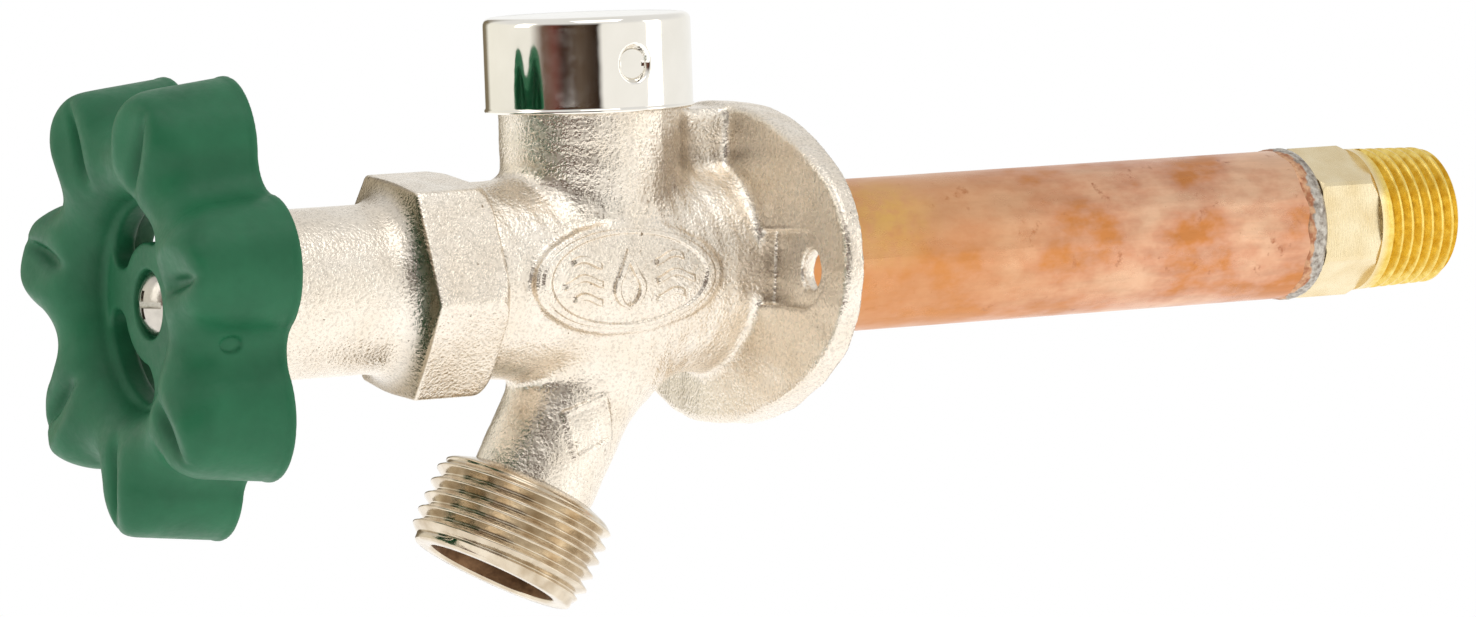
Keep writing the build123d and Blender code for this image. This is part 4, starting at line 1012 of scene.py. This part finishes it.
floor = plane("floor", FLOOR_HALF_SIZE, (0, 0, FLOOR_Z))
pale = bpy.data.materials.new("pale_floor")
pale.use_nodes = True
pale_shader = pale.node_tree.nodes["Principled BSDF"]
pale_shader.inputs["Base Color"].default_value = (0.9, 0.9, 0.9, 1)
pale_shader.inputs["Roughness"].default_value = 1.0
pale_shader.inputs["Emission Color"].default_value = (1, 1, 1, 1)
pale_shader.inputs["Emission Strength"].default_value = FLOOR_GLOW
dress(floor, pale)


def softbox(name, azimuth, elevation, distance, size, power, tint=(1, 1, 1)):
    """A light placed by its direction from the object: azimuth 0 is the camera's side, + to its right."""
    light = bpy.data.lights.new(name, "AREA")
    light.shape = "RECTANGLE"
    light.size, light.size_y = size
    light.energy = power
    light.color = tint
    piece = bpy.data.objects.new(name, light)
    turn = atan2(eye[1], eye[0]) + radians(azimuth)
    lift = radians(elevation)
    away = Vector((cos(turn) * cos(lift), sin(turn) * cos(lift), sin(lift)))
    piece.location = centre + away * distance
    piece.rotation_mode = "QUATERNION"
    piece.rotation_quaternion = (-away).to_track_quat("-Z", "Y")
    bpy.context.scene.collection.objects.link(piece)


softbox("light_top", 10, 65, 1.4, (0.9, 0.9), 3.0)
softbox("light_right", 80, 15, 1.3, (0.5, 1.0), 1.4)
softbox("light_left", -75, 20, 1.4, (0.5, 0.9), 1.4, (1.0, 0.98, 0.94))

# Round the horizon from behind the object, by its left, the camera and its right: white walls, with a
# narrow dark panel behind on the left, and a wide one from the camera's left to just past the camera
HORIZON = (
    (0.000, (1.0, 1.0, 0.98)),
    (0.025, (1.0, 1.0, 0.98)),
    (0.04, (0.20, 0.16, 0.10)),
    (0.085, (0.24, 0.20, 0.13)),
    (0.115, (1.0, 0.98, 0.88)),
    (0.32, (1.0, 0.98, 0.91)),
    (0.365, (0.17, 0.11, 0.08)),
    (0.40, (0.16, 0.055, 0.04)),
    (0.43, (0.05, 0.027, 0.02)),
    (0.48, (0.11, 0.075, 0.05)),
    (0.535, (0.03, 0.018, 0.012)),
    (0.55, (1.05, 1.04, 1.0)),
    (1.00, (1.0, 1.0, 0.98)),
)
# Between these heights of the view direction, the horizon's colours fade into the sky's
SKY_LOW, SKY_HIGH = 0.25, 0.6
SKY = (0.86, 0.86, 0.85, 1)
WHITE = (1, 1, 1, 1)
GLOW = 0.95


def surround():
    """The studio that the metals mirror: horizon and sky. The camera itself sees plain white."""
    world = bpy.data.worlds.new("studio")
    world.use_nodes = True
    bpy.context.scene.world = world
    nodes, links = world.node_tree.nodes, world.node_tree.links
    coords = nodes.new("ShaderNodeTexCoord")
    # Horizon
    spin = nodes.new("ShaderNodeMapping")
    spin.inputs["Rotation"].default_value = (0, 0, -atan2(eye[1], eye[0]))
    gradient = nodes.new("ShaderNodeTexGradient")
    gradient.gradient_type = "RADIAL"
    around = nodes.new("ShaderNodeValToRGB")
    stops = around.color_ramp.elements
    while len(stops) < len(HORIZON):
        stops.new(0.5)
    for stop, (position, colour) in zip(stops, HORIZON):
        stop.position = position
        stop.color = (*colour, 1)
    links.new(coords.outputs["Generated"], spin.inputs["Vector"])
    links.new(spin.outputs["Vector"], gradient.inputs["Vector"])
    links.new(gradient.outputs["Fac"], around.inputs["Fac"])
    # Sky
    height = nodes.new("ShaderNodeSeparateXYZ")
    above = nodes.new("ShaderNodeMapRange")
    above.inputs["From Min"].default_value = SKY_LOW
    above.inputs["From Max"].default_value = SKY_HIGH
    sky = nodes.new("ShaderNodeMix")
    sky.data_type = "RGBA"
    sky.inputs[MIX_B].default_value = SKY
    glow = nodes.new("ShaderNodeVectorMath")
    glow.operation = "SCALE"
    glow.inputs["Scale"].default_value = GLOW
    links.new(coords.outputs["Generated"], height.inputs[0])
    links.new(height.outputs["Z"], above.inputs["Value"])
    links.new(above.outputs["Result"], sky.inputs["Factor"])
    links.new(around.outputs["Color"], sky.inputs[MIX_A])
    links.new(sky.outputs[MIX_RESULT], glow.inputs[0])
    # What the camera sees
    path = nodes.new("ShaderNodeLightPath")
    choose = nodes.new("ShaderNodeMix")
    choose.data_type = "RGBA"
    choose.inputs[MIX_B].default_value = WHITE
    background = nodes["Background"]
    background.inputs["Strength"].default_value = 1.0
    links.new(path.outputs["Is Camera Ray"], choose.inputs["Factor"])
    links.new(glow.outputs["Vector"], choose.inputs[MIX_A])
    links.new(choose.outputs[MIX_RESULT], background.inputs["Color"])


surround()

scene = bpy.context.scene
scene.view_settings.view_transform = "Standard"
scene.view_settings.look = "None"
